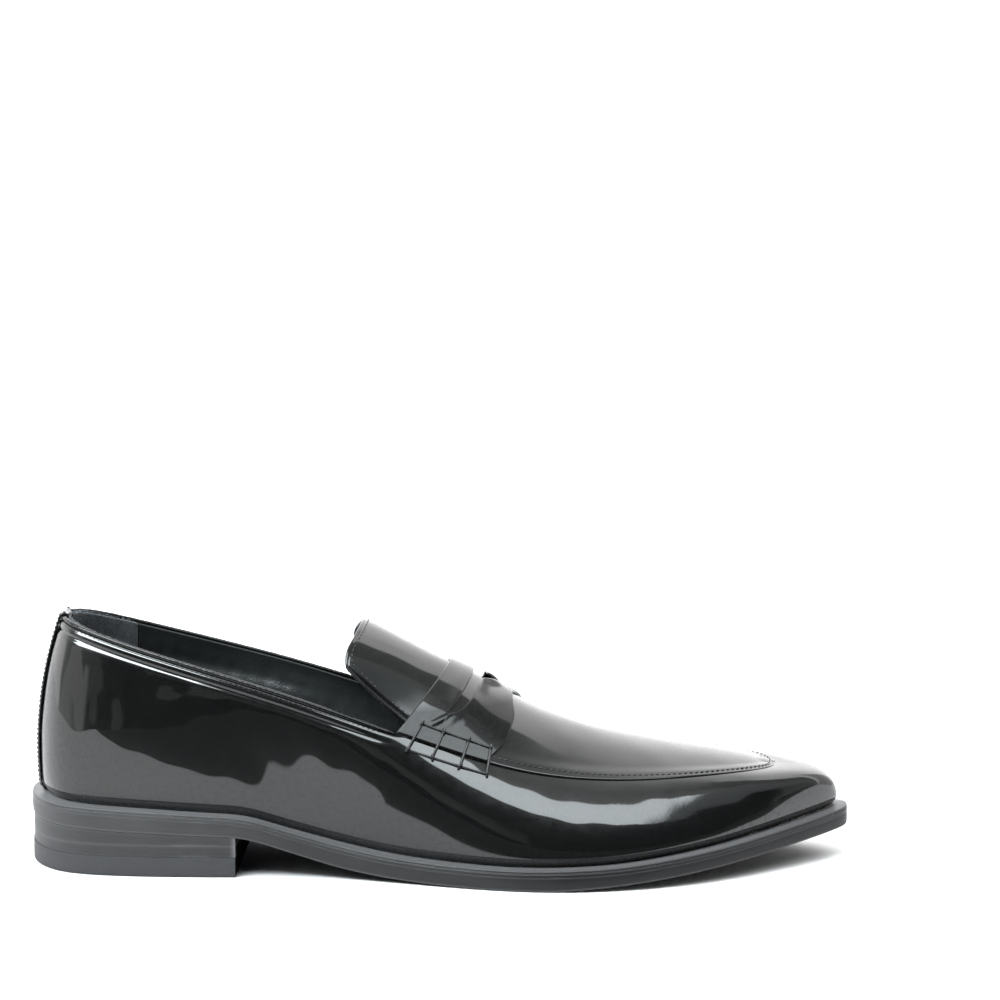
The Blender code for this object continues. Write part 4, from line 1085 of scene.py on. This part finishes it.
# Creases from the ends of the slot to the ladder: middle row and place across, length, slope, width, height
CREASES = ((6.60, 0.80, 0.09, 0.9, 0.010, 0.22), (6.66, 0.84, 0.07, 1.1, 0.009, -0.16),
           (6.72, 0.80, 0.06, 0.7, 0.009, 0.2), (6.78, 0.85, 0.06, 0.9, 0.010, -0.14),
           (6.53, 0.86, 0.06, 1.2, 0.010, 0.15))


def strap_creases(rows, across):
    total = np.zeros(rows.shape)
    for row, middle, length, slope, width, height in CREASES:
        along = (np.abs(across) - middle) / length
        crease_row = row - slope * (np.abs(across) - middle) * 1.6
        total += height * np.exp(-along ** 2) * np.exp(-((rows - crease_row) / (width * 3.2)) ** 2)
    return total


def ladder_spot(row, level, inner_side):
    """A point at a distance above or below the strap's lower seam, lifted off the leather."""
    height = CORD + 0.05
    side_row = ROWS - row if inner_side else row
    if level < 0:
        rows = NEAR + side_row
        grid = side_surface(rows[:, None], rise_below_edge(rows, -level)[:, None] + NEAR)
        normal = normals(grid)[1, 1]
        return grid[1, 1] + normal * height, normal
    station = np.array([row])
    seam_y = around(TOP_Y, np.array([side_row]))[0, 0]
    run = abs(seam_y - float(RIDGE_Y(RIDGE_AT_ROW(row)))) * 1.35
    across = np.array([(1.0 if inner_side else -1.0) * (1 - level / run)])
    normal = strap_normals(station, across)[0]
    return top_surface(station, across)[0] + normal * (height + float(strap_height(across)[0])), normal


def between(a, b, shares):
    """Points from one ladder spot to another, with the directions off the leather there."""
    return a[0] + (b[0] - a[0]) * shares, unit(a[1] + (b[1] - a[1]) * shares)


def ladder(name, inner_side, replaced):
    """Hand-laced ladder over the strap's lower edge: four bars, two rails and a turn at each knot."""
    bundle = Bundle()
    high = [ladder_spot(row, LADDER_HIGH, inner_side) for row in LADDER_TOPS]
    low = [ladder_spot(row, -LADDER_LOW, inner_side) for row in LADDER_BOTTOMS]
    share = np.linspace(-0.06, 1.06, 26)[:, None]
    ends = np.clip((np.abs(share - 0.5) - 0.46) / 0.1, 0, 1)
    rise = 0.55 * np.sin(np.clip(share, 0, 1) * math.pi) - 1.1 * ends
    for top, bottom in zip(high, low):
        path, up = between(top, bottom, share)
        bundle.tube(path + up * rise, CORD, 10, up, 0.85)
    share = np.linspace(0.0, 1.0, 18)[:, None]
    sag = -0.1 - 0.3 * np.sin(share * math.pi)
    for spots, thickness in ((high, 0.4), (low, 0.42)):
        for a, b in zip(spots, spots[1:]):
            path, up = between(a, b, share)
            bundle.tube(path + up * sag, thickness, 10, up, 0.8)
    turn = np.linspace(0, 2 * math.pi, 22, endpoint=False)[:, None]
    for spots in (high, low):
        for number, (point, up) in enumerate(spots):
            along = unit(spots[min(number + 1, 3)][0] - spots[max(number - 1, 0)][0])
            tilt = 0.5 if number % 2 else -0.4
            loop_axis = unit(along + np.cross(up, along) * tilt)
            loop = point + np.cross(loop_axis, up) * np.cos(turn) * 0.85 + up * (np.sin(turn) * 0.75 + 0.15)
            bundle.tube(loop, 0.45, 8, np.tile(loop_axis, (len(loop), 1)), closed=True)
    bundle.make(name, "cord", [replaced])


# ---------------------------------------------------------------- tongue

TONGUE_CORNER = 4.0         # radius of its rear corners
TONGUE_LEATHER = 1.15
TONGUE_BACKING = 0.9
TONGUE_STITCH = 1.9         # distance of its stitches from the edge
TONGUE_FREE = (1, 0, 1, 1)  # all its edges but the root


def tongue_grid(inset, columns, shares):
    """Grid of the tongue with rounded rear corners, drawn in by inset."""
    straight = 1 - TONGUE_CORNER / TONGUE_HALF(TONGUE_REAR)
    into = np.clip((np.abs(columns) - straight) / (1 - straight), 0, 1)
    start = TONGUE_REAR + inset + TONGUE_CORNER * (1 - np.sqrt(np.maximum(1 - into ** 2, 0)))
    ridge_t = start[None, :] + (TONGUE_ROOT - start)[None, :] * shares[:, None]
    across = columns[None, :] * (1 - inset / TONGUE_HALF(ridge_t))
    return tongue_surface(ridge_t, across)


def bend_with_tongue(piece):
    """The strap's rear middle and corner are found, but the piece is only taken off its body, with its
    placement baked into its mesh.
    """
    rear = top_surface(STRAP_REAR(np.array([0.0])), np.array([0.0]))[0]
    corner = top_surface(STRAP_REAR(np.array([0.95])), np.array([-0.95]))[0]
    piece.parent = None
    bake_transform(piece)


def tongue():
    """Patent flap, its suede backing and the stitches round its edge."""
    columns = lines(-1.0, 1.0, 70, 0.02, marks=(-0.99, -0.97, -0.94, -0.9, 0.9, 0.94, 0.97, 0.99))
    shares = lines(0.0, 1.0, 64, 0.016, 0.0)
    base = uneven(tongue_grid(0.0, columns, shares), 0.06, 6.0, TONGUE_FREE)
    distance = edge_distance(base, TONGUE_FREE)
    groove = 0.2 * np.exp(-((distance - TONGUE_STITCH) / 0.4) ** 2)
    groove += 0.12 * (1 - smooth_step(distance, 1.0, TONGUE_STITCH))
    bend_with_tongue(shell("tongue_leather_flap", base, groove, TONGUE_LEATHER, "tongue", ["tongue"],
                           None, 0.5, TONGUE_FREE))
    bend_with_tongue(shell("tongue_backing", tongue_grid(0.25, columns, shares), TONGUE_LEATHER + 0.03,
                           TONGUE_BACKING, "tongue_back", ["tongue_lining"], None, 0.4, TONGUE_FREE))
    rim = tongue_grid(TONGUE_STITCH, np.linspace(-1, 1, 160), np.array([0.0, 0.012, 0.024]))
    side_steps = np.array([-1.0, -0.985, -0.97])
    low_side = tongue_grid(TONGUE_STITCH, side_steps, np.linspace(0.0, 0.93, 160))
    high_side = tongue_grid(TONGUE_STITCH, -side_steps[::-1], np.linspace(0.0, 0.93, 160))
    path = np.concatenate([low_side[::-1, 0], rim[0], high_side[:, 2]])
    up = np.concatenate([normals(low_side)[::-1, 0], normals(rim)[0], normals(high_side)[:, 2]])
    bundle = Bundle()
    bundle.stitches(path - up * 0.12, up, pitch=2.2, length=1.65, radius=0.22)
    bend_with_tongue(bundle.make("tongue_edge_stitches", "seam_thread", body=None))


# ---------------------------------------------------------------- inside

NAP_FIBRES = 5200


def stiffened(rows, rise):
    """1 where the heel counter lies between the upper and its lining."""
    at_heel = 1 - smooth_step(rows_from_heel(rows), COUNTER_HALF + 0.1, COUNTER_HALF + 0.9)
    return at_heel[:, None] * (1 - smooth_step(rise, 0.70, 0.80))


def lining(name, start, end, finish, replaced):
    """A lining panel on the inside of the upper's side, creased by wear."""
    shares = lines(0.0, 1.0, 60, 0.02)
    rows = lines(start, end, int((end - start) * 26) + 8, 0.015)
    rise = rise_below_edge(rows, 1.0)[:, None] * shares[None, :]
    base = side_surface(np.broadcast_to(rows[:, None], rise.shape), rise)
    depth = UPPER + GAP + (STIFFENER + GAP) * stiffened(rows, rise)
    away = smooth_step(edge_distance(base, (0, 0, 1, 1)), 1, 9)
    wrinkles = (ripple(base * 2.1) + 0.7 * ripple(base * np.array([6.0, 2.0, 2.5]))) * away
    normal = normals(base)
    shell(name, base + normal * (wrinkles * 0.22)[..., None], depth, LINING, finish, [replaced], edge=0.4,
          free=(1, 1, 0, 1), normal=normal)


def counter():
    """Pressed fibre cup round the heel, between the upper and the lining."""
    rows = lines(-COUNTER_HALF, COUNTER_HALF, 120, 0.02)
    base = side_surface(rows[:, None], np.linspace(0.06, 0.72, 26)[None, :])
    shell("heel_counter_fibre", base, UPPER + GAP * 0.7, STIFFENER * 0.9, "stiffener", ["heel_counter"],
          edge=0.4)


def vamp_lining():
    """Lining of the forepart: up the outer side, across under the apron and down the inner side."""
    rows = lines(6.35, 13.9, 110, 0.02)[:, None]
    rises = np.linspace(0.02, 1.0, 18)
    base = np.concatenate([side_surface(rows, rises), top_surface(rows, np.linspace(-1, 1, 34)[1:-1]),
                           side_surface(ROWS - rows, rises[::-1])], axis=1)
    shell("vamp_lining_leather", base, UPPER + GAP + 0.5 * smooth_step(rows, 10, 11), LINING, "lining",
          ["vamp_lining"], edge=0.4, free=(1, 1, 0, 0), normal=fair_normals(base))


def fair_normals(base):
    """Normals blurred along the grid, so that a deep offset doesn't fold where the surface is tight."""
    normal = normals(base)
    for _ in range(12):
        inner = normal.copy()
        inner[:, 1:-1] = (normal[:, :-2] + 2 * normal[:, 1:-1] + normal[:, 2:]) / 4
        normal = unit(inner)
    return normal


def nap():
    """Short fibres of the suede along the top of the heel lining."""
    rows = rng.uniform(-HEEL_LINING_HALF + 0.05, HEEL_LINING_HALF - 0.05, NAP_FIBRES)
    drops = 0.2 + 11.0 * rng.uniform(0, 1, NAP_FIBRES) ** 1.6
    lean = rng.normal(0, 0.45, (NAP_FIBRES, 3))
    reach = rng.uniform(0.5, 1.35, NAP_FIBRES)[:, None]
    rise = rise_below_edge(rows, drops)
    grid = side_surface(rows[:, None] + NEAR, rise[:, None])
    upward = side_surface(rows, rise + 0.01) - side_surface(rows, rise - 0.01)
    normal = unit(np.cross(grid[:, 2] - grid[:, 0], upward))
    fold = smooth_step(drops, 3.0, 0.4)
    root = side_surface(rows, rise) - normal * (UPPER + GAP + LINING - 0.15)
    way = unit(-normal + unit(upward) * (0.4 + 1.3 * fold)[:, None] + lean)
    side_way = unit(np.cross(way, rng.normal(size=(NAP_FIBRES, 3))))
    turn = np.array([0.0, 2.094, 4.189])[:, None]
    third = np.cross(way, side_way)
    ring = side_way[:, None] * np.cos(turn) + third[:, None] * np.sin(turn)
    middle = root + way * reach * 0.55
    tip = root + way * reach + np.array([0.0, 0.0, -0.25]) * reach
    points = np.concatenate([root[:, None] + ring * 0.055, middle[:, None] + ring * 0.04, tip[:, None]],
                            axis=1)
    fibre = ((0, 1, 4, 3), (3, 4, 6), (1, 2, 5, 4), (4, 5, 6), (2, 0, 3, 5), (5, 3, 6), (2, 1, 0))
    faces = [[7 * number + corner for corner in face] for number in range(NAP_FIBRES) for face in fibre]
    make("heel_lining_nap", points, faces, "nap", weld=0)


def sock():
    """Leather sock over the insole, dished and turned up at its edge."""
    rows = lines(0.02, 12.9, 150, 0.02)
    columns = lines(0.0, 1.0, 40, 0.012)
    inset = 7.2 + 1.2 * smooth_step(rows, 11.5, 13.0)
    outer = sole_outline(rows, inset)
    inner = sole_outline(ROWS - rows, inset)
    plan = outer[:, None, :] + (inner - outer)[:, None, :] * columns[None, :, None]
    t = plan[..., 0]
    height = SOLE_TOP(t) - WELT + 5.0 + 1.9 * (1 - smooth_step(t, 84, 104)) + 1.2
    part = np.abs(2 * columns - 1)
    base = with_height(plan, height + 1.3 * part ** 5 - 0.5 * (1 - part ** 2))
    up = np.broadcast_to(np.array([0.0, 0.0, 1.0]), base.shape)
    shell("sock_liner_leather", base, 0.0, 1.2, "sock", ["sock_liner"], edge=0.4, normal=up)


# ---------------------------------------------------------------- sole and heel

RIM_LINES = 6
FOOT_LINES = 5
FROM_TOP, ON_SIDE, FROM_BOTTOM = range(3)
SHARP = 38                  # degrees between faces that don't blend into each other
LIFT_SETBACK = 0.4
GLUE = 0.02                 # gap that keeps stacked layers apart


def section(reach, rim, foot, rim_lines, side_lines, bow=0.0, grooves=()):
    """Lines round the edge of a sole layer: how far inside its outline, how high, and measured from what."""
    rounding = [(1 - math.cos(a), 1 - math.sin(a)) for a in np.radians(np.linspace(90, 0, rim_lines))]
    found = [(reach, 0.0, FROM_TOP)] + [(rim * a, rim * b, FROM_TOP) for a, b in rounding]
    found += [(-bow * math.sin(level * math.pi), level, ON_SIDE)
              for level in np.linspace(0, 1, side_lines + 2)[1:-1]]
    for depth, middle, width in grooves:
        for delta, share in ((-width, 0.0), (-width * 0.4, 0.9), (width * 0.4, 0.9), (width, 0.0)):
            found.append((depth * share, middle + delta, FROM_TOP))
    rounding = [(1 - math.cos(a), 1 - math.sin(a)) for a in np.radians(np.linspace(0, 90, FOOT_LINES))]
    return found + [(foot * a, foot * b, FROM_BOTTOM) for a, b in rounding] + [(reach, 0.0, FROM_BOTTOM)]


def section_height(high, low, rim, foot, level, measured):
    if measured == FROM_TOP:
        return high - level
    if measured == FROM_BOTTOM:
        return low + level
    return high - rim - (high - low - rim - foot) * level


def sole_edge(rows, top, bottom, reach, rim, foot, bow, grooves=()):
    """Grid round the edge of the outsole or the welt, from the top face down to the bottom face."""
    plan = sole_outline(rows, 0.0)
    high, low = top(plan[:, 0]), bottom(plan[:, 0])
    columns = [with_height(sole_outline(rows, inset), section_height(high, low, rim, foot, level, measured))
               for inset, level, measured in section(reach, rim, foot, RIM_LINES, 11, bow, grooves)]
    grid = np.stack(columns, axis=1)
    side = slice(RIM_LINES + 1, -FOOT_LINES - 1)
    order = np.argsort(-grid[:, side, 2].mean(axis=0))
    grid[:, side] = grid[:, side][:, order]
    return grid


def outsole():
    half = np.concatenate([np.linspace(0.0, 4.0, 60), np.linspace(4.0, 11.5, 90)[1:],
                           np.linspace(11.5, 14.0, 70)[1:]])
    rows = np.concatenate([half, (ROWS - half)[::-1]])
    grid = sole_edge(rows, lambda t: SOLE_TOP(t) - WELT - GLUE, SOLE_BOTTOM, 6.0, 0.06, 0.7, 0.12)
    n, m = grid.shape[:2]
    faces = [tuple(f) for f in quads(n, m)]
    faces += [((n - 1) * m + k, k, k + 1, (n - 1) * m + k + 1) for k in range(m - 1)]
    for i in range(len(half) - 1):
        j = n - 1 - i
        faces.append((i * m, (i + 1) * m, (j - 1) * m, j * m))
        faces.append((j * m + m - 1, (j - 1) * m + m - 1, (i + 1) * m + m - 1, i * m + m - 1))
    uv = grid_uv(lengths(grid, 0).mean(axis=1), grid[..., 2])
    make("outsole_leather", grid, faces, "sole", ["outsole"], uv=uv, sharp=SHARP, weld=2 * WELD)


def welt():
    """Strip round the edge on top of the outsole, with a fine groove along its side."""
    grid = sole_edge(np.linspace(0, ROWS, 561)[:-1], SOLE_TOP, lambda t: SOLE_TOP(t) - WELT,
                     UPPER_INSET + 4.6, 0.4, 0.06, 0.05, ((0.09, 1.05, 0.16),))
    n, m = grid.shape[:2]
    faces = []
    for i in range(n):
        j = (i + 1) % n
        for k in range(m):
            q = (k + 1) % m
            faces.append((i * m + k, j * m + k, j * m + q, i * m + q))
    uv = grid_uv(run_along(grid[:, RIM_LINES + 1]), grid[..., 2])
    make("welt_strip", grid, faces, "welt", ["welt"], uv=uv, sharp=SHARP)


def heel_plan(setback):
    """The sole's outline round the heel, cut off square at the breast."""
    turns = []
    dense = np.linspace(0.0, 5.0, 900)
    for side_rows in (dense, ROWS - dense):
        plan = sole_outline(side_rows, setback)
        run = run_along(plan)
        last = np.interp(HEEL_BREAST, plan[:, 0], run)
        turns.append(columns_at(np.linspace(0, last, 90), run, plan))
    outer, inner = turns
    breast = inner[-1] + (outer[-1] - inner[-1]) * np.linspace(0, 1, 30)[1:-1, None]
    return np.concatenate([outer, breast[::-1], inner[:0:-1]])


def heel_layer(name, setback, top, bottom, finish, replaced, rim, foot):
    loop = heel_plan(setback)
    run = unit(np.roll(loop, -1, axis=0) - np.roll(loop, 1, axis=0))
    out = np.stack([run[:, 1], -run[:, 0]], axis=1)
    columns = []
    for inset, level, measured in section(5.0, rim, foot, 5, 6):
        plan = loop - out * inset
        t = plan[:, 0]
        columns.append(with_height(plan, section_height(top(t), bottom(t), rim, foot, level, measured)))
    grid = np.stack(columns, axis=1)
    n, m = grid.shape[:2]
    faces = [tuple(f) for f in quads(n, m, True)]
    faces.append(tuple(i * m for i in reversed(range(n))))
    faces.append(tuple(i * m + m - 1 for i in range(n)))
    make(name, grid, faces, finish, [replaced], uv=grid_uv(run_along(grid[:, 6]), grid[..., 2]), sharp=SHARP)


def heel():
    """Two leather lifts and a rubber one."""
    heel_layer("heel_lift_upper_leather", LIFT_SETBACK, lambda t: SOLE_BOTTOM(t) - GLUE,
               lambda t: LOWER_LIFT_TOP + GLUE, "lift", "heel_lift_upper", 0.035, 0.03)
    heel_layer("heel_lift_lower_leather", LIFT_SETBACK, lambda t: LOWER_LIFT_TOP,
               lambda t: TOP_LIFT_HEIGHT + 2 * GLUE, "lift", "heel_lift_lower", 0.03, 0.05)
    heel_layer("top_lift_rubber", 0.0, lambda t: TOP_LIFT_HEIGHT, lambda t: 0.0, "heel_rubber", "top_lift",
               0.06, 0.5)


# ---------------------------------------------------------------- build

def repaint(node, finish):
    for material_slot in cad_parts[node].material_slots:
        material_slot.material = finishes[finish][0]


wall_and_quarter()
for where, offset in (("rear", -0.055), ("front", -0.125)):
    path, up = seam_line(offset, -0.82)
    stitches(f"medial_seam_stitches_{where}", path, up, "seam_thread", pitch=2.0, length=1.5, radius=0.22)
opening_edge()
backstay()
apron()
saddle_strap()
ladder("lateral_ladder_cord", False, "lateral_ladder_thread")
ladder("medial_ladder_cord", True, "medial_ladder_thread")
tongue()
lining("heel_lining_suede", -HEEL_LINING_HALF, HEEL_LINING_HALF, "suede", "heel_lining")
lining("lateral_quarter_lining_leather", HEEL_LINING_HALF + 0.01, QUARTER_LINING_END, "lining",
       "lateral_quarter_lining")
lining("medial_quarter_lining_leather", ROWS - QUARTER_LINING_END, ROWS - HEEL_LINING_HALF - 0.01, "lining",
       "medial_quarter_lining")
vamp_lining()
nap()
counter()
sock()
outsole()
welt()
heel()
for node, finish in (("insole_board", "board"), ("cork_filler", "cork"), ("heel_pad", "foam"),
                     ("shank", "steel"), ("toe_puff", "stiffener")):
    repaint(node, finish)
for number in range(1, 6):
    repaint(f"heel_nail_{number}", "steel")

# ---------------------------------------------------------------- studio

FLOOR_RADIUS = 30.0
CARD_EDGES = ((0.42, -0.072), (1.5, -0.007))    # the card's far edge: slope and y at the frame's centre
CARD_NEAR = -0.058          # the y that the edge never passes
CARD_COLOUR = (0.03, 0.03, 0.03)
CONTACT_SHADOW_REACH = 0.035
CONTACT_SHADOW_END = (-0.03, 0.05)     # the x where the painted contact shadow on the floor fades out, towards the toe
CONTACT_SHADOW_COLOUR = (0.1, 0.1, 0.11)
FLOOR_REFLECTED = (0.6, 0.6, 0.6)

SUN_LEVEL = 2.6
FILL_LEVEL = 0.8
BACKGROUND_LEVEL = 1.3      # what the camera itself sees

# The world as the shoe reflects it. Angles are degrees from the front, up over the top to the back;
# x is -1 on the heel's side and 1 on the toe's side. Bands are (start, end, half width of their edges).
WHITE_LEVEL = 1.8
FRONT_SWEEP = ((-90, 0.018), (50, 0.018), (53, 0.42), (84, 0.5), (97, 0.8), (112, 1.45), (135, 1.8),
               (180, 1.8))      # (angle, level)
SWEEP_START, SWEEP_TURN = -90, 270
ALL = 400.0                 # an angle beyond every direction
FAR = 2.0                   # an x beyond every direction
FRONT_EDGE = 0.3
LEFT_EDGE = 0.4
SIDE_LEVEL = 0.75
TOE_LEVEL = 0.3
TOE_BAND = (0.02, FAR, 0.08)
DIM_LEVEL = 0.2
DIM_NOISE = 4.5
DIM_BANDS = (0.54, FAR, 0.012), (-0.85, -0.12, 0.1), (-30.0, 49.0, 3.0)     # of the noise, x and angle
LINE_LEVEL = 0.3
LINE_BAND = (82.0, 103.0, 1.0)
ABOVE_LINE = 2.0
LINE_SIDE = (0.36, FAR, 0.08)
TOP_LEVEL = 0.75
TOP_BAND = (120.0, ALL, 10.0)
TOP_SIDE = (0.5, FAR, 0.06)
STRIP_LEVEL = 5.2
STRIP_HEEL_GAIN = 2.2       # how much more the strip gives on the heel's side
STRIP_BAND = (51.0, 74.0, 0.8)
STRIP_SIDE = (-0.8, 0.45, 0.05)
STRIP_COLOUR = (0.92, 1.0, 1.03)

CAMERA_TURN = math.radians(1.5)
CAMERA_PITCH = math.radians(8.6)
CAMERA_DISTANCE = 1.182
CAMERA_LENS = 113.76
CAMERA_SIDE = -0.0224       # the shoe stands left of and below the middle of the picture
CAMERA_RISE = -0.1324


def place(name, data, location, back):
    """Put a camera or light at a location, with its back towards a direction."""
    made = bpy.data.objects.new(name, data)
    made.location = location
    made.rotation_mode = "QUATERNION"
    made.rotation_quaternion = back.to_track_quat("Z", "Y")
    bpy.context.scene.collection.objects.link(made)
    return made


def camera():
    turn, pitch = CAMERA_TURN, CAMERA_PITCH
    right = Vector((math.cos(turn), math.sin(turn), 0))
    back = Vector((math.sin(turn) * math.cos(pitch), -math.cos(turn) * math.cos(pitch), math.sin(pitch)))
    up = back.cross(right)
    target = Vector((0.0, SIDE_SHIFT * MM, 0.0))
    lens = bpy.data.cameras.new("camera")
    lens.lens = CAMERA_LENS
    lens.sensor_width = 36.0
    location = target - (right * CAMERA_SIDE + up * CAMERA_RISE - back * CAMERA_DISTANCE)
    bpy.context.scene.camera = place("camera", lens, location, back)


def floor():
    """Pale paper floor with a painted contact shadow where the shoe stands close; in the shoe's reflections
    its front part is covered by a black card.
    """
    bm = bmesh.new()
    bmesh.ops.create_circle(bm, cap_ends=True, segments=96, radius=FLOOR_RADIUS)
    mesh = bpy.data.meshes.new("floor")
    bm.to_mesh(mesh)
    bm.free()
    made = bpy.data.objects.new("floor", mesh)
    made.location.z = cad_low.z - 0.0001
    bpy.context.scene.collection.objects.link(made)
    n = Finish("floor_paper")
    at = n.axes(n.geometry("Position"))
    edge = CARD_NEAR
    for slope, start in CARD_EDGES:
        edge = n.math("MINIMUM", n.math("MULTIPLY_ADD", at["X"], slope, start), edge)
    on_card = n.span(n.math("SUBTRACT", at["Y"], edge), 0.002, -0.002)
    glossy = n.add("ShaderNodeLightPath").outputs["Is Glossy Ray"]
    paper = n.ramp(n.noise(8.0, 3.0), [(0.3, (0.88,) * 3), (0.7, (0.9,) * 3)])
    # Painted shadow: the paper darkens to the shadow colour where the shoe is near, fading out towards the
    # toe.
    nearness = n.add("ShaderNodeAmbientOcclusion", {"Distance": CONTACT_SHADOW_REACH}, samples=8).outputs["AO"]
    clear = n.math("MAXIMUM", n.span(nearness, 0.08, 0.42), n.span(at["X"], *CONTACT_SHADOW_END))
    shadowed_paper = n.mix(clear, CONTACT_SHADOW_COLOUR, paper)
    shadowed_paper = n.mix(glossy, shadowed_paper, FLOOR_REFLECTED, "MULTIPLY")
    n.set(Base_Color=n.mix(n.math("MULTIPLY", on_card, glossy), shadowed_paper, CARD_COLOUR), Roughness=0.7,
          Specular_IOR_Level=0.0)
    mesh.materials.append(n.material)


def surroundings():
    """White sweep behind and beside the shoe, dark in front, with a bright strip and a grey line above."""
    world = bpy.data.worlds.new("studio")
    bpy.context.scene.world = world
    world.use_nodes = True
    world.node_tree.nodes.clear()
    n = Nodes(world.node_tree)

    def band(value, start, end, soft):
        """1 between start and end, and 0 outside, with soft edges."""
        up = n.span(value, start - soft, start + soft, interpolation_type="SMOOTHSTEP")
        down = n.span(value, end - soft, end + soft, 1.0, 0.0, interpolation_type="SMOOTHSTEP")
        return n.math("MULTIPLY", up, down)

    def lay(under, over, *masks):
        """A level laid over another one where all the masks are 1."""
        mask = masks[0]
        for other in masks[1:]:
            mask = n.math("MULTIPLY", mask, other)
        shown_under = n.math("MULTIPLY", under, n.math("SUBTRACT", 1.0, mask))
        return n.math("ADD", shown_under, n.math("MULTIPLY", mask, over))

    direction = n.add("ShaderNodeTexCoord").outputs["Generated"]
    x, y, z = n.axes(direction)
    ahead = n.math("MULTIPLY", y, -1.0)
    angle = n.math("MULTIPLY", n.math("ARCTAN2", z, ahead), 180 / math.pi)
    turn = n.math("MULTIPLY_ADD", angle, 1 / SWEEP_TURN, -SWEEP_START / SWEEP_TURN)
    sweep = n.ramp(turn, [((degrees - SWEEP_START) / SWEEP_TURN, (level / WHITE_LEVEL,) * 3)
                          for degrees, level in FRONT_SWEEP])
    leftward = n.math("MULTIPLY", band(x, -FAR, -0.25, 0.2), LEFT_EDGE)
    facing = band(n.math("SUBTRACT", ahead, leftward), FRONT_EDGE, FAR, 0.03)
    above = band(angle, FRONT_SWEEP[1][0], ALL, 1.0)
    side = n.math("MULTIPLY_ADD", band(x, *TOE_BAND), TOE_LEVEL - SIDE_LEVEL, SIDE_LEVEL)
    level = lay(side, n.math("MULTIPLY", sweep, WHITE_LEVEL), n.math("MAXIMUM", facing, above))
    cloud = n.add("ShaderNodeTexNoise", {"Vector": direction, "Scale": DIM_NOISE, "Detail": 1.5})
    dim = [band(value, *limits) for value, limits in zip((cloud.outputs["Fac"], x, angle), DIM_BANDS)]
    level = lay(level, DIM_LEVEL, *dim)
    level = lay(level, LINE_LEVEL, band(angle, *LINE_BAND), band(x, *LINE_SIDE))
    level = lay(level, ABOVE_LINE, band(angle, LINE_BAND[1], ALL, 2.0), band(x, *LINE_SIDE))
    level = lay(level, TOP_LEVEL, band(angle, *TOP_BAND), band(x, *TOP_SIDE))
    rays = n.add("ShaderNodeLightPath").outputs
    strip = band(angle, *STRIP_BAND)
    gain = n.math("MULTIPLY_ADD", band(x, -FAR, -0.012, 0.012), STRIP_LEVEL * STRIP_HEEL_GAIN, STRIP_LEVEL)
    level = lay(level, gain, strip, band(x, *STRIP_SIDE), n.math("SUBTRACT", 1.0, rays["Is Diffuse Ray"]))
    colour = n.mix(strip, (1.0, 1.0, 1.0), STRIP_COLOUR)
    reflected = n.add("ShaderNodeBackground", {"Color": colour, "Strength": level}).outputs[0]
    seen = n.add("ShaderNodeBackground", {"Strength": BACKGROUND_LEVEL}).outputs[0]
    choose = n.add("ShaderNodeMixShader", {0: rays["Is Camera Ray"], 1: reflected, 2: seen})
    n.add("ShaderNodeOutputWorld", {0: choose.outputs[0]})


def lamps():
    """Very soft light from above, kept out of the reflections."""
    for name, location, strength, spread in (("overhead", (0.15, 0.1, 1.0), SUN_LEVEL, 95.0),
                                             ("left_fill", (-1.2, -1.0, 0.7), FILL_LEVEL, 60.0)):
        light = bpy.data.lights.new(name, "SUN")
        light.energy = strength
        light.angle = math.radians(spread)
        place(name, light, location, Vector(location)).visible_glossy = False


camera()
floor()
surroundings()
lamps()
bpy.context.scene.view_settings.view_transform = "Standard"
